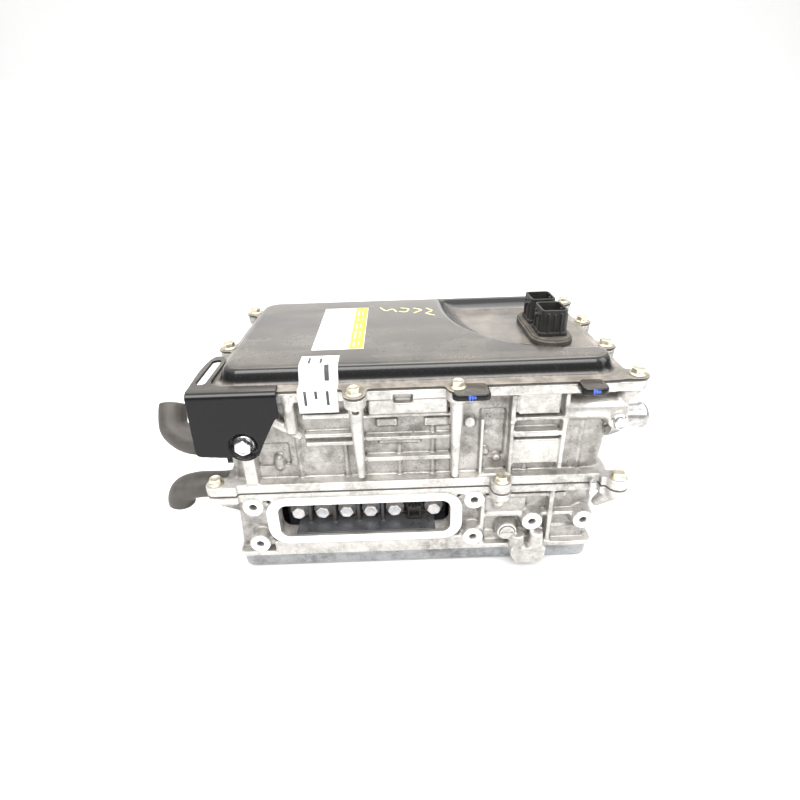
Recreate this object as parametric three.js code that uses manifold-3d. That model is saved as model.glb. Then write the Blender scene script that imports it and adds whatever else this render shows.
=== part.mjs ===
// Vehicle power inverter unit: two die-cast housings, pressed steel cover, terminal window,
// coolant elbows and the electronics inside.
// Millimetres. X to the right, Y to the back, Z up. The terminal window faces -Y.
// The origin is the middle of the underside of the bottom cover.
import * as THREE from 'three';
import { mergeVertices } from 'three/addons/utils/BufferGeometryUtils.js';
import Module from 'manifold-3d';

const wasm = await Module();
wasm.setup();

// ---- driving dimensions -------------------------------------------------------------------

// Plan sizes of the lower casting. The other shells take their outlines from these.
const WIDTH = 341;
const FRONT_DEPTH = 107; // origin to the machined front plane
const BACK_DEPTH = 104; // origin to the rear wall

// Heights of the shells, from the bottom up.
const BOTTOM_COVER_HEIGHT = 21.4;
const LOWER_HEIGHT = 74.6;
const UPPER_HEIGHT = 101.4;
const GASKET = 0.6; // thickness of each gasket
const SEAT_GAP = 0.2; // each side of a gasket
const GAP = 0.3; // between pieces that rest on or beside each other

// Walls and flanges.
const WALL = 6;
const LOWER_FLANGE = 8; // at the parting plane
const UPPER_FLANGE = 9.5;
const LIP = 5; // bottom lip of the lower casting
const DECK = 8; // floor of the upper casting
const CORNER_R = 14;
const FOOT_CORNER_R = 6; // bottom cover and foot of the lower casting
const FOOT_LEFT_OUT = 3;

// Upper casting: how far it stands beyond the lower one.
const UPPER_RIGHT_FLARE = 9;
const TOP_LEFT_OUT = 3;
const TOP_RIGHT_OUT = 10;
const TOP_BACK_OUT = 9;

// Pressed steel cover.
const SHEET = 1.6;
const DOME_RISE = 14;
const DOME_INSET_FRONT = 11;
const DOME_INSET_SIDE = 6;
const DOME_INSET_BACK = 10;
const RECESS_FLOOR = 1.8; // above the cover flange
const RECESS_RIM = 8; // rim left behind the recess at the back
const COVER_HOLE_INSET = 6; // plinth edge to the hole under it

// Hex flange screws: across flats, flange radius, shank radius.
const COVER_SCREW = { flats: 10, flange: 7, head: 6, shank: 3, length: 15 };
const PARTING_SCREW = { flats: 10, flange: 7, head: 6, shank: 3, length: 26 };
const BRACKET_SCREW = { flats: 13, flange: 8.6, head: 7.5, shank: 4, length: 14 };
const TERMINAL_SCREW = { flats: 12, flange: 9, head: 7.5, shank: 3, length: 14 };
const HOLE_CLEARANCE = 0.4;
const LUG_R = 9.5;

// Terminal window and the pieces in it.
const WINDOW_FROM_LEFT = 41.2;
const WINDOW_SILL = 46.5;
const WINDOW_HEIGHT = 37.5;
const WINDOW_CORNER_R = 9;
const RING_WIDTH = 11; // at the window's ends
const RING_BAND = 8.5; // above and below the window
const TERMINAL_PITCH = 23.6;
const TERMINALS_IN_ROW = 5;
const LAST_STEP = 38.5; // fifth terminal to the sixth
const END_MARGIN = 14.3; // window end to the first terminal
const FRONT_WALL_SETBACK = 12; // machined plane to the wall between the bosses
const BUSBAR = { width: 17, thickness: 2, height: 28, reach: 34 };
const TERMINAL_SETBACK = 27; // machined plane to the busbar face

// Mounting bosses on the machined plane.
const BOSS_R = 9.7;
const BOSS_HOLE_R = 3.5;
const BOSS_HOLE_DEPTH = 14;
const BOSS_PATTERN_HEIGHT = 44.4;
const BOSS_SILL = 38.7;

// Coolant hoses.
const HOSE_OD = 27;
const HOSE_BORE = 18.6;
const HOSE_Y = -45;
const UPPER_HOSE_Z = 118;
const LOWER_HOSE_Z = 66;
const SPIGOT_BORE_R = 6.5;
const HOSE_CLEARANCE = 0.5;

// Headers on top of the cover.
const HEADER = { width: 24.5, depth: 29, height: 24.7, wall: 2, socket: 20 };
const HEADER_GAP = 8; // clear between the two headers
const PLINTH = { side: 7.75, end: 14, height: 7.2 }; // beyond the headers at the sides and ends

// Side bracket.
const BRACKET_T = 2.5;
const BRACKET_STANDOFF = 6; // machined plane to the outer face
const BRACKET_BEND_R = 7;
const BRACKET_BOSS_SETBACK = 1; // machined plane to the face that the dimple rests on

// ---- places worked out from the driving dimensions ----------------------------------------

const LEFT = -WIDTH / 2;
const RIGHT = WIDTH / 2;
const FRONT = -FRONT_DEPTH;
const BACK = BACK_DEPTH;
const Z_LOWER = BOTTOM_COVER_HEIGHT + GASKET + 2 * SEAT_GAP;
const Z_PARTING = Z_LOWER + LOWER_HEIGHT;
const Z_UPPER = Z_PARTING + GASKET + 2 * SEAT_GAP;
const Z_TOP = Z_UPPER + UPPER_HEIGHT;
const Z_COVER = Z_TOP + GASKET + 2 * SEAT_GAP;
const Z_SEAT = Z_COVER + SHEET;
const Z_DOME = Z_SEAT + DOME_RISE;
const Z_RECESS = Z_SEAT + RECESS_FLOOR;
const WALL_FRONT = FRONT + FRONT_WALL_SETBACK;
const BOARD_Z = Z_TOP - 22; // control board, on the posts of the upper casting
const FLANGE_TOP = Z_UPPER + UPPER_FLANGE;

const ROW_LENGTH = END_MARGIN * 2 + TERMINAL_PITCH * (TERMINALS_IN_ROW - 1) + LAST_STEP;
const WINDOW_X0 = LEFT + WINDOW_FROM_LEFT;
const WINDOW_X1 = WINDOW_X0 + ROW_LENGTH;
const WINDOW_Z1 = WINDOW_SILL + WINDOW_HEIGHT;
const TERMINAL_XS = [];
for (let i = 0; i < TERMINALS_IN_ROW; i += 1) {
  TERMINAL_XS.push(WINDOW_X0 + END_MARGIN + i * TERMINAL_PITCH);
}
TERMINAL_XS.push(WINDOW_X1 - END_MARGIN);

const HEADER_STEP = HEADER.depth + HEADER_GAP;
const PLINTH_WIDTH = HEADER.width + 2 * PLINTH.side;
const PLINTH_DEPTH = HEADER.depth + HEADER_STEP + 2 * PLINTH.end;
const CONNECTOR_X = RIGHT - 35;
const CONNECTOR_Y = BACK - 96;

// Screws that hold the cover: x, y.
const COVER_SCREWS = [
  [35.4, FRONT - 3.2],
  [-48.6, FRONT - 9.5],
  [RIGHT + 16.8, FRONT + 9.7],
  [RIGHT + 14.7, -31],
  [RIGHT + 15.5, 39],
  [RIGHT + 16.8, BACK + 5],
  [LEFT - 8.8, -5.5],
  [LEFT - 8.7, BACK + 2.5],
  [-90, BACK + 12],
  [60, BACK + 12],
];
// Screws through the flange at the parting plane: x, y.
const PARTING_SCREWS = [
  [76.6, FRONT - 4],
  [RIGHT + 10.3, FRONT - 4.8],
  [LEFT - 11.8, FRONT + 6.3],
  [0, BACK + 9],
];

// ---- materials ----------------------------------------------------------------------------

/** A standard material of one colour. */
function finish(color, roughness, metalness) {
  return new THREE.MeshStandardMaterial({ color, roughness, metalness });
}

const CAST = () => finish(0xb9b6ae, 0.6, 0.8);
const BLACK_STEEL = () => finish(0x1b1a19, 0.35, 0.3);
const ZINC = () => finish(0xc9c2a4, 0.35, 0.9);
const SILVER = () => finish(0xc8c8c8, 0.3, 0.9);
const COPPER = () => finish(0xc07a4a, 0.35, 0.9);
const BLACK_PLASTIC = () => finish(0x151515, 0.5, 0);
const RUBBER = () => finish(0x47423d, 0.8, 0);
const SEAL = () => finish(0x2b2b2b, 0.9, 0);
const BOARD = () => finish(0x1f5a36, 0.5, 0.1);
const RESIN = () => finish(0x2c2f33, 0.5, 0);

// ---- solid helpers ------------------------------------------------------------------------

/** Turns a closed three.js geometry into a solid that can be cut and joined. */
function toSolid(geometry) {
  const bare = geometry.index ? geometry.toNonIndexed() : geometry.clone();
  bare.deleteAttribute('normal');
  bare.deleteAttribute('uv');
  const merged = mergeVertices(bare, 1e-4);
  const vertProperties = new Float32Array(merged.attributes.position.array);
  const triVerts = new Uint32Array(merged.index.array);
  return new wasm.Manifold(new wasm.Mesh({ numProp: 3, vertProperties, triVerts }));
}

/** Turns a solid back into a flat-shaded three.js geometry. */
function toGeometry(solid) {
  const data = solid.getMesh();
  const geometry = new THREE.BufferGeometry();
  geometry.setAttribute('position', new THREE.BufferAttribute(data.vertProperties, 3));
  geometry.setIndex(new THREE.BufferAttribute(data.triVerts, 1));
  const flat = geometry.toNonIndexed();
  flat.computeVertexNormals();
  return flat;
}

/** Joins a list of solids. */
function join(solids) {
  return solids.reduce((whole, piece) => whole.add(piece));
}

/** Cuts a list of solids out of the first one. */
function cut(solid, cutters) {
  return cutters.reduce((whole, cutter) => whole.subtract(cutter), solid);
}

/** A box between two corners. */
function box(x0, x1, y0, y1, z0, z1) {
  const geometry = new THREE.BoxGeometry(x1 - x0, y1 - y0, z1 - z0);
  geometry.translate((x0 + x1) / 2, (y0 + y1) / 2, (z0 + z1) / 2);
  return toSolid(geometry);
}

/** A cylinder or cone from a point along an axis; r0 is the radius at the point. */
function rod(point, axis, length, r0, r1 = r0, segments = 14) {
  const geometry = new THREE.CylinderGeometry(r1, r0, length, segments);
  geometry.translate(0, length / 2, 0);
  const up = new THREE.Vector3(0, 1, 0);
  const turn = new THREE.Quaternion().setFromUnitVectors(up, new THREE.Vector3(...axis).normalize());
  geometry.applyQuaternion(turn);
  geometry.translate(...point);
  return toSolid(geometry);
}

/** A rectangle with rounded corners, as a shape. */
function roundRect(x0, x1, y0, y1, r) {
  const shape = new THREE.Shape();
  shape.absarc(x1 - r, y1 - r, r, 0, Math.PI / 2);
  shape.absarc(x0 + r, y1 - r, r, Math.PI / 2, Math.PI);
  shape.absarc(x0 + r, y0 + r, r, Math.PI, Math.PI * 1.5);
  shape.absarc(x1 - r, y0 + r, r, Math.PI * 1.5, Math.PI * 2);
  return shape;
}

/** A shape drawn in X and Y, extruded in Z. */
function slab(shape, z0, z1, curveSegments = 4) {
  const geometry = new THREE.ExtrudeGeometry(shape, {
    depth: z1 - z0, bevelEnabled: false, curveSegments,
  });
  geometry.translate(0, 0, z0);
  return toSolid(geometry);
}

/** A shape drawn in X and Z, extruded in Y. */
function facePlate(shape, y0, y1, curveSegments = 6) {
  const geometry = new THREE.ExtrudeGeometry(shape, {
    depth: y1 - y0, bevelEnabled: false, curveSegments,
  });
  geometry.rotateX(Math.PI / 2);
  geometry.translate(0, y1, 0);
  return toSolid(geometry);
}

/** A closed skin through convex rings of equal point count, from the lowest to the highest. */
function loft(rings) {
  const count = rings[0].length;
  const positions = [];
  const index = [];
  rings.forEach((ring) => ring.forEach((point) => positions.push(...point)));
  for (let level = 0; level < rings.length - 1; level += 1) {
    for (let i = 0; i < count; i += 1) {
      const a = level * count + i;
      const b = level * count + ((i + 1) % count);
      index.push(a, b, b + count);
      index.push(a, b + count, a + count);
    }
  }
  const top = (rings.length - 1) * count;
  for (let i = 1; i < count - 1; i += 1) {
    index.push(0, i + 1, i);
    index.push(top, top + i, top + i + 1);
  }
  const geometry = new THREE.BufferGeometry();
  geometry.setAttribute('position', new THREE.Float32BufferAttribute(positions, 3));
  geometry.setIndex(index);
  return toSolid(geometry);
}

/** The points of a rounded rectangle at one height, with the same count for every ring. */
function ringOf(x0, x1, y0, y1, r, z, perCorner = 5) {
  const corners = [[x1 - r, y1 - r, 0], [x0 + r, y1 - r, 1], [x0 + r, y0 + r, 2], [x1 - r, y0 + r, 3]];
  const points = [];
  corners.forEach(([cx, cy, quarter]) => {
    for (let i = 0; i < perCorner; i += 1) {
      const angle = (quarter + i / (perCorner - 1)) * (Math.PI / 2);
      points.push([cx + r * Math.cos(angle), cy + r * Math.sin(angle), z]);
    }
  });
  return points;
}

/** A tube along a curve: outer radius, bore radius, open at both ends. */
function tube(curve, radius, bore, steps, segments = 16) {
  const skin = (r, stretch) => {
    const frames = curve.computeFrenetFrames(steps, false);
    const rings = [];
    for (let i = 0; i <= steps; i += 1) {
      const centre = curve.getPointAt(i / steps);
      if (i === 0) centre.addScaledVector(frames.tangents[0], -stretch);
      if (i === steps) centre.addScaledVector(frames.tangents[steps], stretch);
      const ring = [];
      for (let j = 0; j < segments; j += 1) {
        const angle = (j / segments) * Math.PI * 2;
        const point = centre.clone();
        point.addScaledVector(frames.normals[i], r * Math.cos(angle));
        point.addScaledVector(frames.binormals[i], r * Math.sin(angle));
        ring.push([point.x, point.y, point.z]);
      }
      rings.push(ring);
    }
    return loft(rings);
  };
  return skin(radius, 0).subtract(skin(bore, 1));
}

const group = new THREE.Group();

/** Drops the crumbs, under a cubic millimetre, that cuts along shared planes can leave. */
function withoutCrumbs(solid) {
  const bodies = solid.decompose().filter((body) => Math.abs(body.volume()) > 1);
  return join(bodies);
}

/** Adds one named sub-part to the assembly. */
function addPart(name, solid, material, position = [0, 0, 0], rotation = [0, 0, 0]) {
  const mesh = new THREE.Mesh(toGeometry(withoutCrumbs(solid)), material);
  mesh.name = name;
  mesh.position.set(...position);
  mesh.rotation.set(...rotation);
  group.add(mesh);
}

/** A hex flange screw standing on its seat at the origin, with its shank down -Z. */
function flangeScrew({ flats, flange, head, shank, length }) {
  const skirt = rod([0, 0, 0], [0, 0, 1], 2, flange, flange * 0.86, 12);
  const hex = rod([0, 0, 0.5], [0, 0, 1], head - 0.5, flats / Math.sqrt(3), flats / Math.sqrt(3), 6);
  const stem = rod([0, 0, -length], [0, 0, 1], length + 0.5, shank, shank, 8);
  return join([skirt, hex, stem]);
}

// ---- outlines shared by several pieces ----------------------------------------------------

/** A vertical lug: a cylinder and a block that ties it to the housing behind it. */
function lug([x, y], z0, z1, r, inwardX, inwardY) {
  const column = rod([x, y, z0], [0, 0, 1], z1 - z0, r, r, 14);
  const x1 = x + inwardX;
  const y1 = y + inwardY;
  const wideX = inwardX === 0 ? r : 0;
  const wideY = inwardY === 0 ? r : 0;
  const x0 = Math.min(x, x1) - wideX;
  const xe = Math.max(x, x1) + wideX;
  const y0 = Math.min(y, y1) - wideY;
  const ye = Math.max(y, y1) + wideY;
  return column.add(box(x0, xe, y0, ye, z0, z1));
}

/** Which way the housing lies from a cover screw. */
function inward([x, y]) {
  const dx = x > RIGHT ? -18 : (x < LEFT ? 18 : 0);
  const dy = y < FRONT ? 14 : (y > BACK + 6 ? -14 : 0);
  return [dx, dy];
}

/** The plan outline of the top joint, with its lugs, between two heights. */
function topOutline(z0, z1, r) {
  const body = slab(
    roundRect(LEFT - TOP_LEFT_OUT, RIGHT + TOP_RIGHT_OUT, FRONT, BACK + TOP_BACK_OUT, CORNER_R), z0, z1,
  );
  const lugs = COVER_SCREWS.map((at) => lug(at, z0, z1, r, ...inward(at)));
  return join([body, ...lugs]);
}

/** Holes down through the cover screws' places. */
function coverHoles(z0, z1) {
  const r = COVER_SCREW.shank + HOLE_CLEARANCE;
  return COVER_SCREWS.map(([x, y]) => rod([x, y, z0], [0, 0, 1], z1 - z0, r, r, 8));
}

/** The plan outline of the parting joint, with its lugs, between two heights. */
function partingOutline(z0, z1) {
  const body = slab(roundRect(LEFT - 4, RIGHT + 6, FRONT + 1, BACK + 6, CORNER_R), z0, z1);
  const lugs = PARTING_SCREWS.map((at) => {
    const dx = at[0] < LEFT ? 20 : (at[0] > RIGHT ? -14 : 0);
    const dy = at[1] < FRONT ? 12 : (at[1] > BACK ? -12 : 0);
    return lug(at, z0, z1, LUG_R, dx, dy);
  });
  return join([body, ...lugs]);
}

/** Holes down through the parting screws' places. */
function partingHoles(z0, z1) {
  const r = PARTING_SCREW.shank + HOLE_CLEARANCE;
  return PARTING_SCREWS.map(([x, y]) => rod([x, y, z0], [0, 0, 1], z1 - z0, r, r, 8));
}

/** The hollow of a housing between two heights. */
function hollow(z0, z1, flare = 0) {
  const r = CORNER_R - WALL;
  const low = ringOf(LEFT + WALL + 4, RIGHT - WALL - 4, WALL_FRONT + WALL, BACK - WALL, r, z0);
  const high = ringOf(
    LEFT + WALL + 4, RIGHT - WALL - 4 + flare, WALL_FRONT + WALL, BACK - WALL, r, z1,
  );
  return loft([low, high]);
}

// ---- shells -------------------------------------------------------------------------------

/** Shallow pan under the lower casting. */
function bottomCover() {
  const z1 = BOTTOM_COVER_HEIGHT;
  const left = LEFT - FOOT_LEFT_OUT;
  const r = FOOT_CORNER_R;
  const foot = ringOf(left + 4, RIGHT - 2, FRONT + 13, BACK - 8, r, 0);
  const waist = ringOf(left + 1.5, RIGHT - 0.5, FRONT + 8, BACK - 5, r, 4);
  const rim = ringOf(left + 1, RIGHT - 0.5, FRONT + 6.5, BACK - 3, r, z1);
  const flange = slab(roundRect(left, RIGHT, FRONT + 6, BACK, r), z1 - 5, z1);
  const inner0 = ringOf(LEFT + 15, RIGHT - 15, FRONT + 18, BACK - 12, 8, 4);
  const inner1 = ringOf(LEFT + 11, RIGHT - 11, FRONT + 14, BACK - 8, 8, z1 + 1);
  const ribs = [];
  for (let x = LEFT + 60; x < RIGHT - 40; x += 55) {
    ribs.push(box(x, x + 4, FRONT + 16, BACK - 10, 3, 8));
  }
  return cut(join([loft([foot, waist, rim]), flange]), [loft([inner0, inner1])]).add(join(ribs));
}

/** Flat gasket ring with the outline of the lower lip. */
function bottomGasket() {
  const z0 = BOTTOM_COVER_HEIGHT + SEAT_GAP;
  const outline = roundRect(LEFT - 1, RIGHT - 1, FRONT + 7, BACK - 1, FOOT_CORNER_R);
  const outer = slab(outline, z0, z0 + GASKET);
  const inner = roundRect(LEFT + 11, RIGHT - 11, FRONT + 15, BACK - 9, 8);
  return outer.subtract(slab(inner, z0 - 1, z0 + 2));
}

/** The two rows and two columns of bosses round the window. */
function windowBossPlaces() {
  const x0 = WINDOW_X0 - RING_WIDTH - 10.8;
  const x1 = WINDOW_X1 + RING_WIDTH + 10.8;
  const top = BOSS_SILL + BOSS_PATTERN_HEIGHT;
  return [[x0, top], [x0, BOSS_SILL], [x1, top], [x1, BOSS_SILL]];
}

/** The pair of bosses at the right of the front. */
function rightBossPlaces() {
  return [[RIGHT - 60.7, 55], [RIGHT - 12.1, 55]];
}

const PLUG_PLACE = [RIGHT - 83.7, 43];
const PLUG_R = 7;

/** A boss that stands out to the machined plane. */
function frontBoss([x, z], r) {
  return rod([x, WALL_FRONT + 3, z], [0, -1, 0], FRONT_WALL_SETBACK + 3, r + 2.6, r, 18);
}

/** A blind hole in the machined plane. */
function frontHole([x, z], r, depth) {
  return rod([x, FRONT - 1, z], [0, 1, 0], depth + 1, r, r, 12);
}

/** Ribs and panels of the lower casting's front, right of the window. */
function lowerFrontRibs() {
  const flangeUnder = Z_PARTING - LOWER_FLANGE;
  const ribFront = FRONT + 3;
  const columnX = RIGHT - 43;
  const leftX = RIGHT - 107.5;
  return join([
    box(columnX - 2.2, columnX + 2.2, ribFront, WALL_FRONT + 1, Z_LOWER, flangeUnder + 1),
    box(leftX - 2, leftX + 2, ribFront + 1, WALL_FRONT + 1, Z_LOWER, flangeUnder + 1),
    box(leftX, RIGHT - 18, ribFront + 2, WALL_FRONT + 1, 57.5, 61.5),
    box(leftX, RIGHT - 30, ribFront + 2.5, WALL_FRONT + 1, 80, 84),
    box(leftX - 4, RIGHT - 66, ribFront + 5, WALL_FRONT + 1, 62, 78),
    box(columnX, RIGHT - 8, ribFront + 6, WALL_FRONT + 1, Z_LOWER + 4, 41),
    box(leftX + 4, columnX - 3, ribFront + 6.5, WALL_FRONT + 1, Z_LOWER + 4, 37),
  ]);
}

/** The lug under the slotted plug, with its two short columns. */
function frontFoot() {
  const x = RIGHT - 62.5;
  const outline = new THREE.Shape();
  outline.moveTo(x - 18, Z_LOWER + 6);
  outline.lineTo(x - 18, 20);
  outline.lineTo(x - 12, 10);
  outline.lineTo(x + 9, 9);
  outline.lineTo(x + 15, 17);
  outline.lineTo(x + 16, Z_LOWER + 6);
  const apron = facePlate(outline, FRONT - 8, FRONT + 5.6);
  const shelf = box(x - 18, x + 16, FRONT - 5, WALL_FRONT + 1, Z_LOWER, Z_LOWER + 6);
  const left = rod([x - 11, FRONT + 1, Z_LOWER + 3], [0, 0, 1], 15, 8.5, 7, 16);
  const right = rod([x + 7, FRONT, Z_LOWER + 3], [0, 0, 1], 18, 8, 6.5, 16);
  const hole = rod([x + 1, FRONT - 1.5, 0], [0, 0, 1], Z_LOWER + 4, 3.4, 3.4, 12);
  return join([apron, shelf, left, right]).subtract(hole);
}

/** Passage block inside the left wall that carries the lower spigot. */
function inletBlock() {
  const y = HOSE_Y;
  return box(LEFT + WALL, LEFT + 46, y - 16, y + 17, LOWER_HOSE_Z - 16, Z_PARTING);
}

const SPIGOT_R = HOSE_BORE / 2 - HOSE_CLEARANCE;

/** Round port that a coolant hose is pushed against, on the left wall. */
function hosePortAt(x, z, length) {
  return rod([x, HOSE_Y, z], [-1, 0, 0], length, HOSE_OD / 2 + 5, HOSE_OD / 2 + 2, 24);
}

/** Lower housing: window ring, bosses, ribs, lip and flange. */
function lowerCasting() {
  const z0 = Z_LOWER;
  const z1 = Z_PARTING;
  const body = loft([
    ringOf(LEFT - FOOT_LEFT_OUT, RIGHT, WALL_FRONT, BACK - 1, FOOT_CORNER_R, z0),
    ringOf(LEFT + 2, RIGHT - 2, WALL_FRONT, BACK, FOOT_CORNER_R, z1),
  ]);
  const lip = slab(
    roundRect(LEFT - FOOT_LEFT_OUT, RIGHT + 1, FRONT + 1, BACK, FOOT_CORNER_R), z0, z0 + LIP,
  );
  const flange = partingOutline(z1 - LOWER_FLANGE, z1);
  const columns = PARTING_SCREWS.map(([x, y]) => {
    const turnX = x < LEFT ? 1 : (x > RIGHT ? -0.8 : 0);
    const turnY = y > 0 ? -1 : 0.8;
    return rod([x, y, z1 - 2], [turnX, turnY, -1.7], 30, LUG_R, 4, 12);
  });
  const ring = facePlate(
    roundRect(
      WINDOW_X0 - RING_WIDTH, WINDOW_X1 + RING_WIDTH, WINDOW_SILL - RING_BAND, WINDOW_Z1 + RING_BAND,
      WINDOW_CORNER_R + RING_WIDTH - 1,
    ), FRONT, WALL_FRONT + 1,
  );
  const band = box(WINDOW_X0 - 8, WINDOW_X1 + 20, FRONT + 1, WALL_FRONT + 1, z0, WINDOW_SILL - 7);
  const webs = windowBossPlaces().map(([x, z]) => {
    const side = x < WINDOW_X0 ? 12 : -12;
    const from = Math.min(x, x + side);
    return box(from, from + Math.abs(side), FRONT + 4, WALL_FRONT + 1, z - 5, z + 5);
  });
  const bosses = [...windowBossPlaces(), ...rightBossPlaces()].map((at) => frontBoss(at, BOSS_R));
  const plugBoss = frontBoss(PLUG_PLACE, PLUG_R + 2.5);
  const leftPort = hosePortAt(LEFT + 8, LOWER_HOSE_Z, 12);
  const sideRibs = [];
  for (let y = -10; y < BACK - 20; y += 32) {
    sideRibs.push(box(LEFT - 1, LEFT + 8, y - 2.5, y + 2.5, z0, z1 - 2));
    sideRibs.push(box(RIGHT - 8, RIGHT + 1.5, y - 2.5, y + 2.5, z0, z1 - 2));
  }
  for (let x = LEFT + 50; x < RIGHT - 30; x += 58) {
    sideRibs.push(box(x - 2.5, x + 2.5, BACK - 8, BACK + 3, z0, z1 - 2));
  }
  const outside = join([
    body, lip, flange, ...columns, ring, band, ...webs, ...bosses, plugBoss, leftPort,
    lowerFrontRibs(), frontFoot(), ...sideRibs,
  ]);
  const opening = facePlate(
    roundRect(WINDOW_X0, WINDOW_X1, WINDOW_SILL, WINDOW_Z1, WINDOW_CORNER_R), FRONT - 1,
    WALL_FRONT + WALL + 4,
  );
  const holes = [...windowBossPlaces(), ...rightBossPlaces()];
  const above = box(LEFT - 40, RIGHT + 40, FRONT - 40, BACK + 40, z1, z1 + 40);
  const shell = cut(outside, [hollow(z0 - 1, z1 + 1), opening, above]).add(inletBlock());
  const feed = rod([LEFT - 20, HOSE_Y, LOWER_HOSE_Z], [1, 0, 0], 54, SPIGOT_R + 0.3, SPIGOT_R + 0.3, 20);
  const riser = rod([LEFT + 34, HOSE_Y, LOWER_HOSE_Z], [0, 0, 1], z1 - LOWER_HOSE_Z + 1, 7, 7, 16);
  return cut(shell, [
    ...holes.map((at) => frontHole(at, BOSS_HOLE_R, BOSS_HOLE_DEPTH)),
    frontHole(PLUG_PLACE, PLUG_R + 0.3, 9),
    ...partingHoles(z1 - 20, z1 + 1),
    rod([RIGHT - 10.5, FRONT - 4, z1 - 8], [0, 0, 1], 9, 3.3, 3.3, 12),
    feed, riser,
  ]);
}

/** Gasket between the two castings. */
function partingGasket() {
  const z0 = Z_PARTING + SEAT_GAP;
  const sheet = partingOutline(z0, z0 + GASKET);
  const inletHole = rod([LEFT + 34, HOSE_Y, z0 - 1], [0, 0, 1], 3, 8, 8, 16);
  const keep = inletBlock().intersect(box(LEFT, LEFT + 60, -200, 200, Z_PARTING - 2, Z_PARTING));
  const land = keep.translate([0, 0, GASKET + SEAT_GAP]).intersect(sheet);
  const open = sheet.subtract(hollow(z0 - 1, z0 + 2));
  const pin = rod([RIGHT - 10.5, FRONT - 4, z0 - 1], [0, 0, 1], 3, 3.4, 3.4, 12);
  return cut(open.add(land), [inletHole, pin, ...partingHoles(z0 - 1, z0 + 2)]);
}

/** A column cast on the front wall under a cover lug. */
function frontColumn(x, yTop, yLow, zLow, rTop, rLow) {
  const drop = zLow - Z_TOP + 3;
  const length = Math.hypot(yLow - yTop, drop);
  const stem = rod([x, yTop, Z_TOP - 3], [0, yLow - yTop, drop], length, rTop, rLow, 12);
  return stem.add(box(x - rLow, x + rLow, yLow, WALL_FRONT, zLow, Z_TOP - 4));
}

/** Ribs, panels and columns of the upper casting's front wall. */
function upperFrontDetail() {
  const y0 = FRONT + 3;
  const yw = WALL_FRONT + 1;
  const zt = Z_TOP;
  const bar = (x0, x1, z0, z1, out = 0) => box(x0, x1, y0 + out, yw, z0, z1);
  const panelLeft = -39;
  const panelRight = 28.3;
  const pieces = [
    frontColumn(35.4, FRONT - 2, FRONT + 2, zt - 89, 6.5, 3.4),
    frontColumn(-48.6, FRONT - 7, FRONT + 1, zt - 86, 7, 3.4),
    bar(panelLeft, panelRight, zt - 24, zt - 3),
    bar(panelLeft - 6, panelRight + 4, zt - 29, zt - 26, 2),
    bar(panelLeft - 4, panelRight + 6, zt - 52, zt - 48, 2.5),
    bar(panelLeft - 4, panelRight + 6, zt - 74, zt - 69, 2.5),
    bar(LEFT + 75, panelLeft - 12, zt - 28, zt - 23, 1.5),
    bar(LEFT + 75, panelLeft - 12, zt - 47, zt - 43, 2),
    bar(LEFT + 75, panelLeft - 12, zt - 56, zt - 52, 3),
    bar(RIGHT - 88, RIGHT - 84, zt - 38, zt - 3),
    bar(RIGHT - 81, RIGHT - 46, zt - 30, zt - 6, 2),
    bar(RIGHT - 84, RIGHT - 44, zt - 36, zt - 32.5, 1),
    bar(RIGHT - 42.5, RIGHT - 38.5, zt - 86, zt - 3),
    bar(RIGHT - 84, RIGHT - 40, zt - 82, zt - 56, 3),
  ];
  const slotRib = roundRect(RIGHT - 84, RIGHT - 44, zt - 52, zt - 46, 2.9);
  pieces.push(facePlate(slotRib, y0, yw));
  const armAxis = [22, 0, -16];
  pieces.push(rod([LEFT + 47.5, FRONT + 6, zt - 27], armAxis, 30, 5, 4, 12));
  pieces.push(rod([LEFT + 47.5, FRONT + 2, zt - 27], [0, 1, 0], 14, 6.5, 6.5, 16));
  pieces.push(rod([LEFT + 65, FRONT + 4, zt - 3], [0, 0, -1], 36, 6, 5, 12));
  pieces.push(rod([RIGHT - 41, WALL_FRONT, zt - 28], [1, 0, 0], 52, 11, 12, 16));
  return join(pieces);
}

/** Boss behind the bracket screw, with the web under it. */
function bracketBoss(x, z) {
  const reach = FRONT_WALL_SETBACK + 2 - BRACKET_BOSS_SETBACK;
  const boss = rod([x, WALL_FRONT + 2, z], [0, -1, 0], reach, 12, 9.5, 16);
  const web = box(x - 7, x + 4, FRONT + 2, WALL_FRONT + 1, Z_UPPER + 4, z);
  return boss.add(web);
}

const DIMPLE_DEPTH = BRACKET_STANDOFF + BRACKET_BOSS_SETBACK - GAP - BRACKET_T;
const BRACKET_SCREW_PLACE = [LEFT + 24, Z_TOP - 46];
const SPIGOT_PLACE = [RIGHT + 10, FRONT + 24, Z_TOP - 45];
const SPIGOT_SCREW_PLACE = [RIGHT + 3, FRONT - 1, Z_TOP - 36];
const SIDE_SPIGOT = { r: 10.8, bore: 8, length: 27, bead: 12 };

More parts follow.
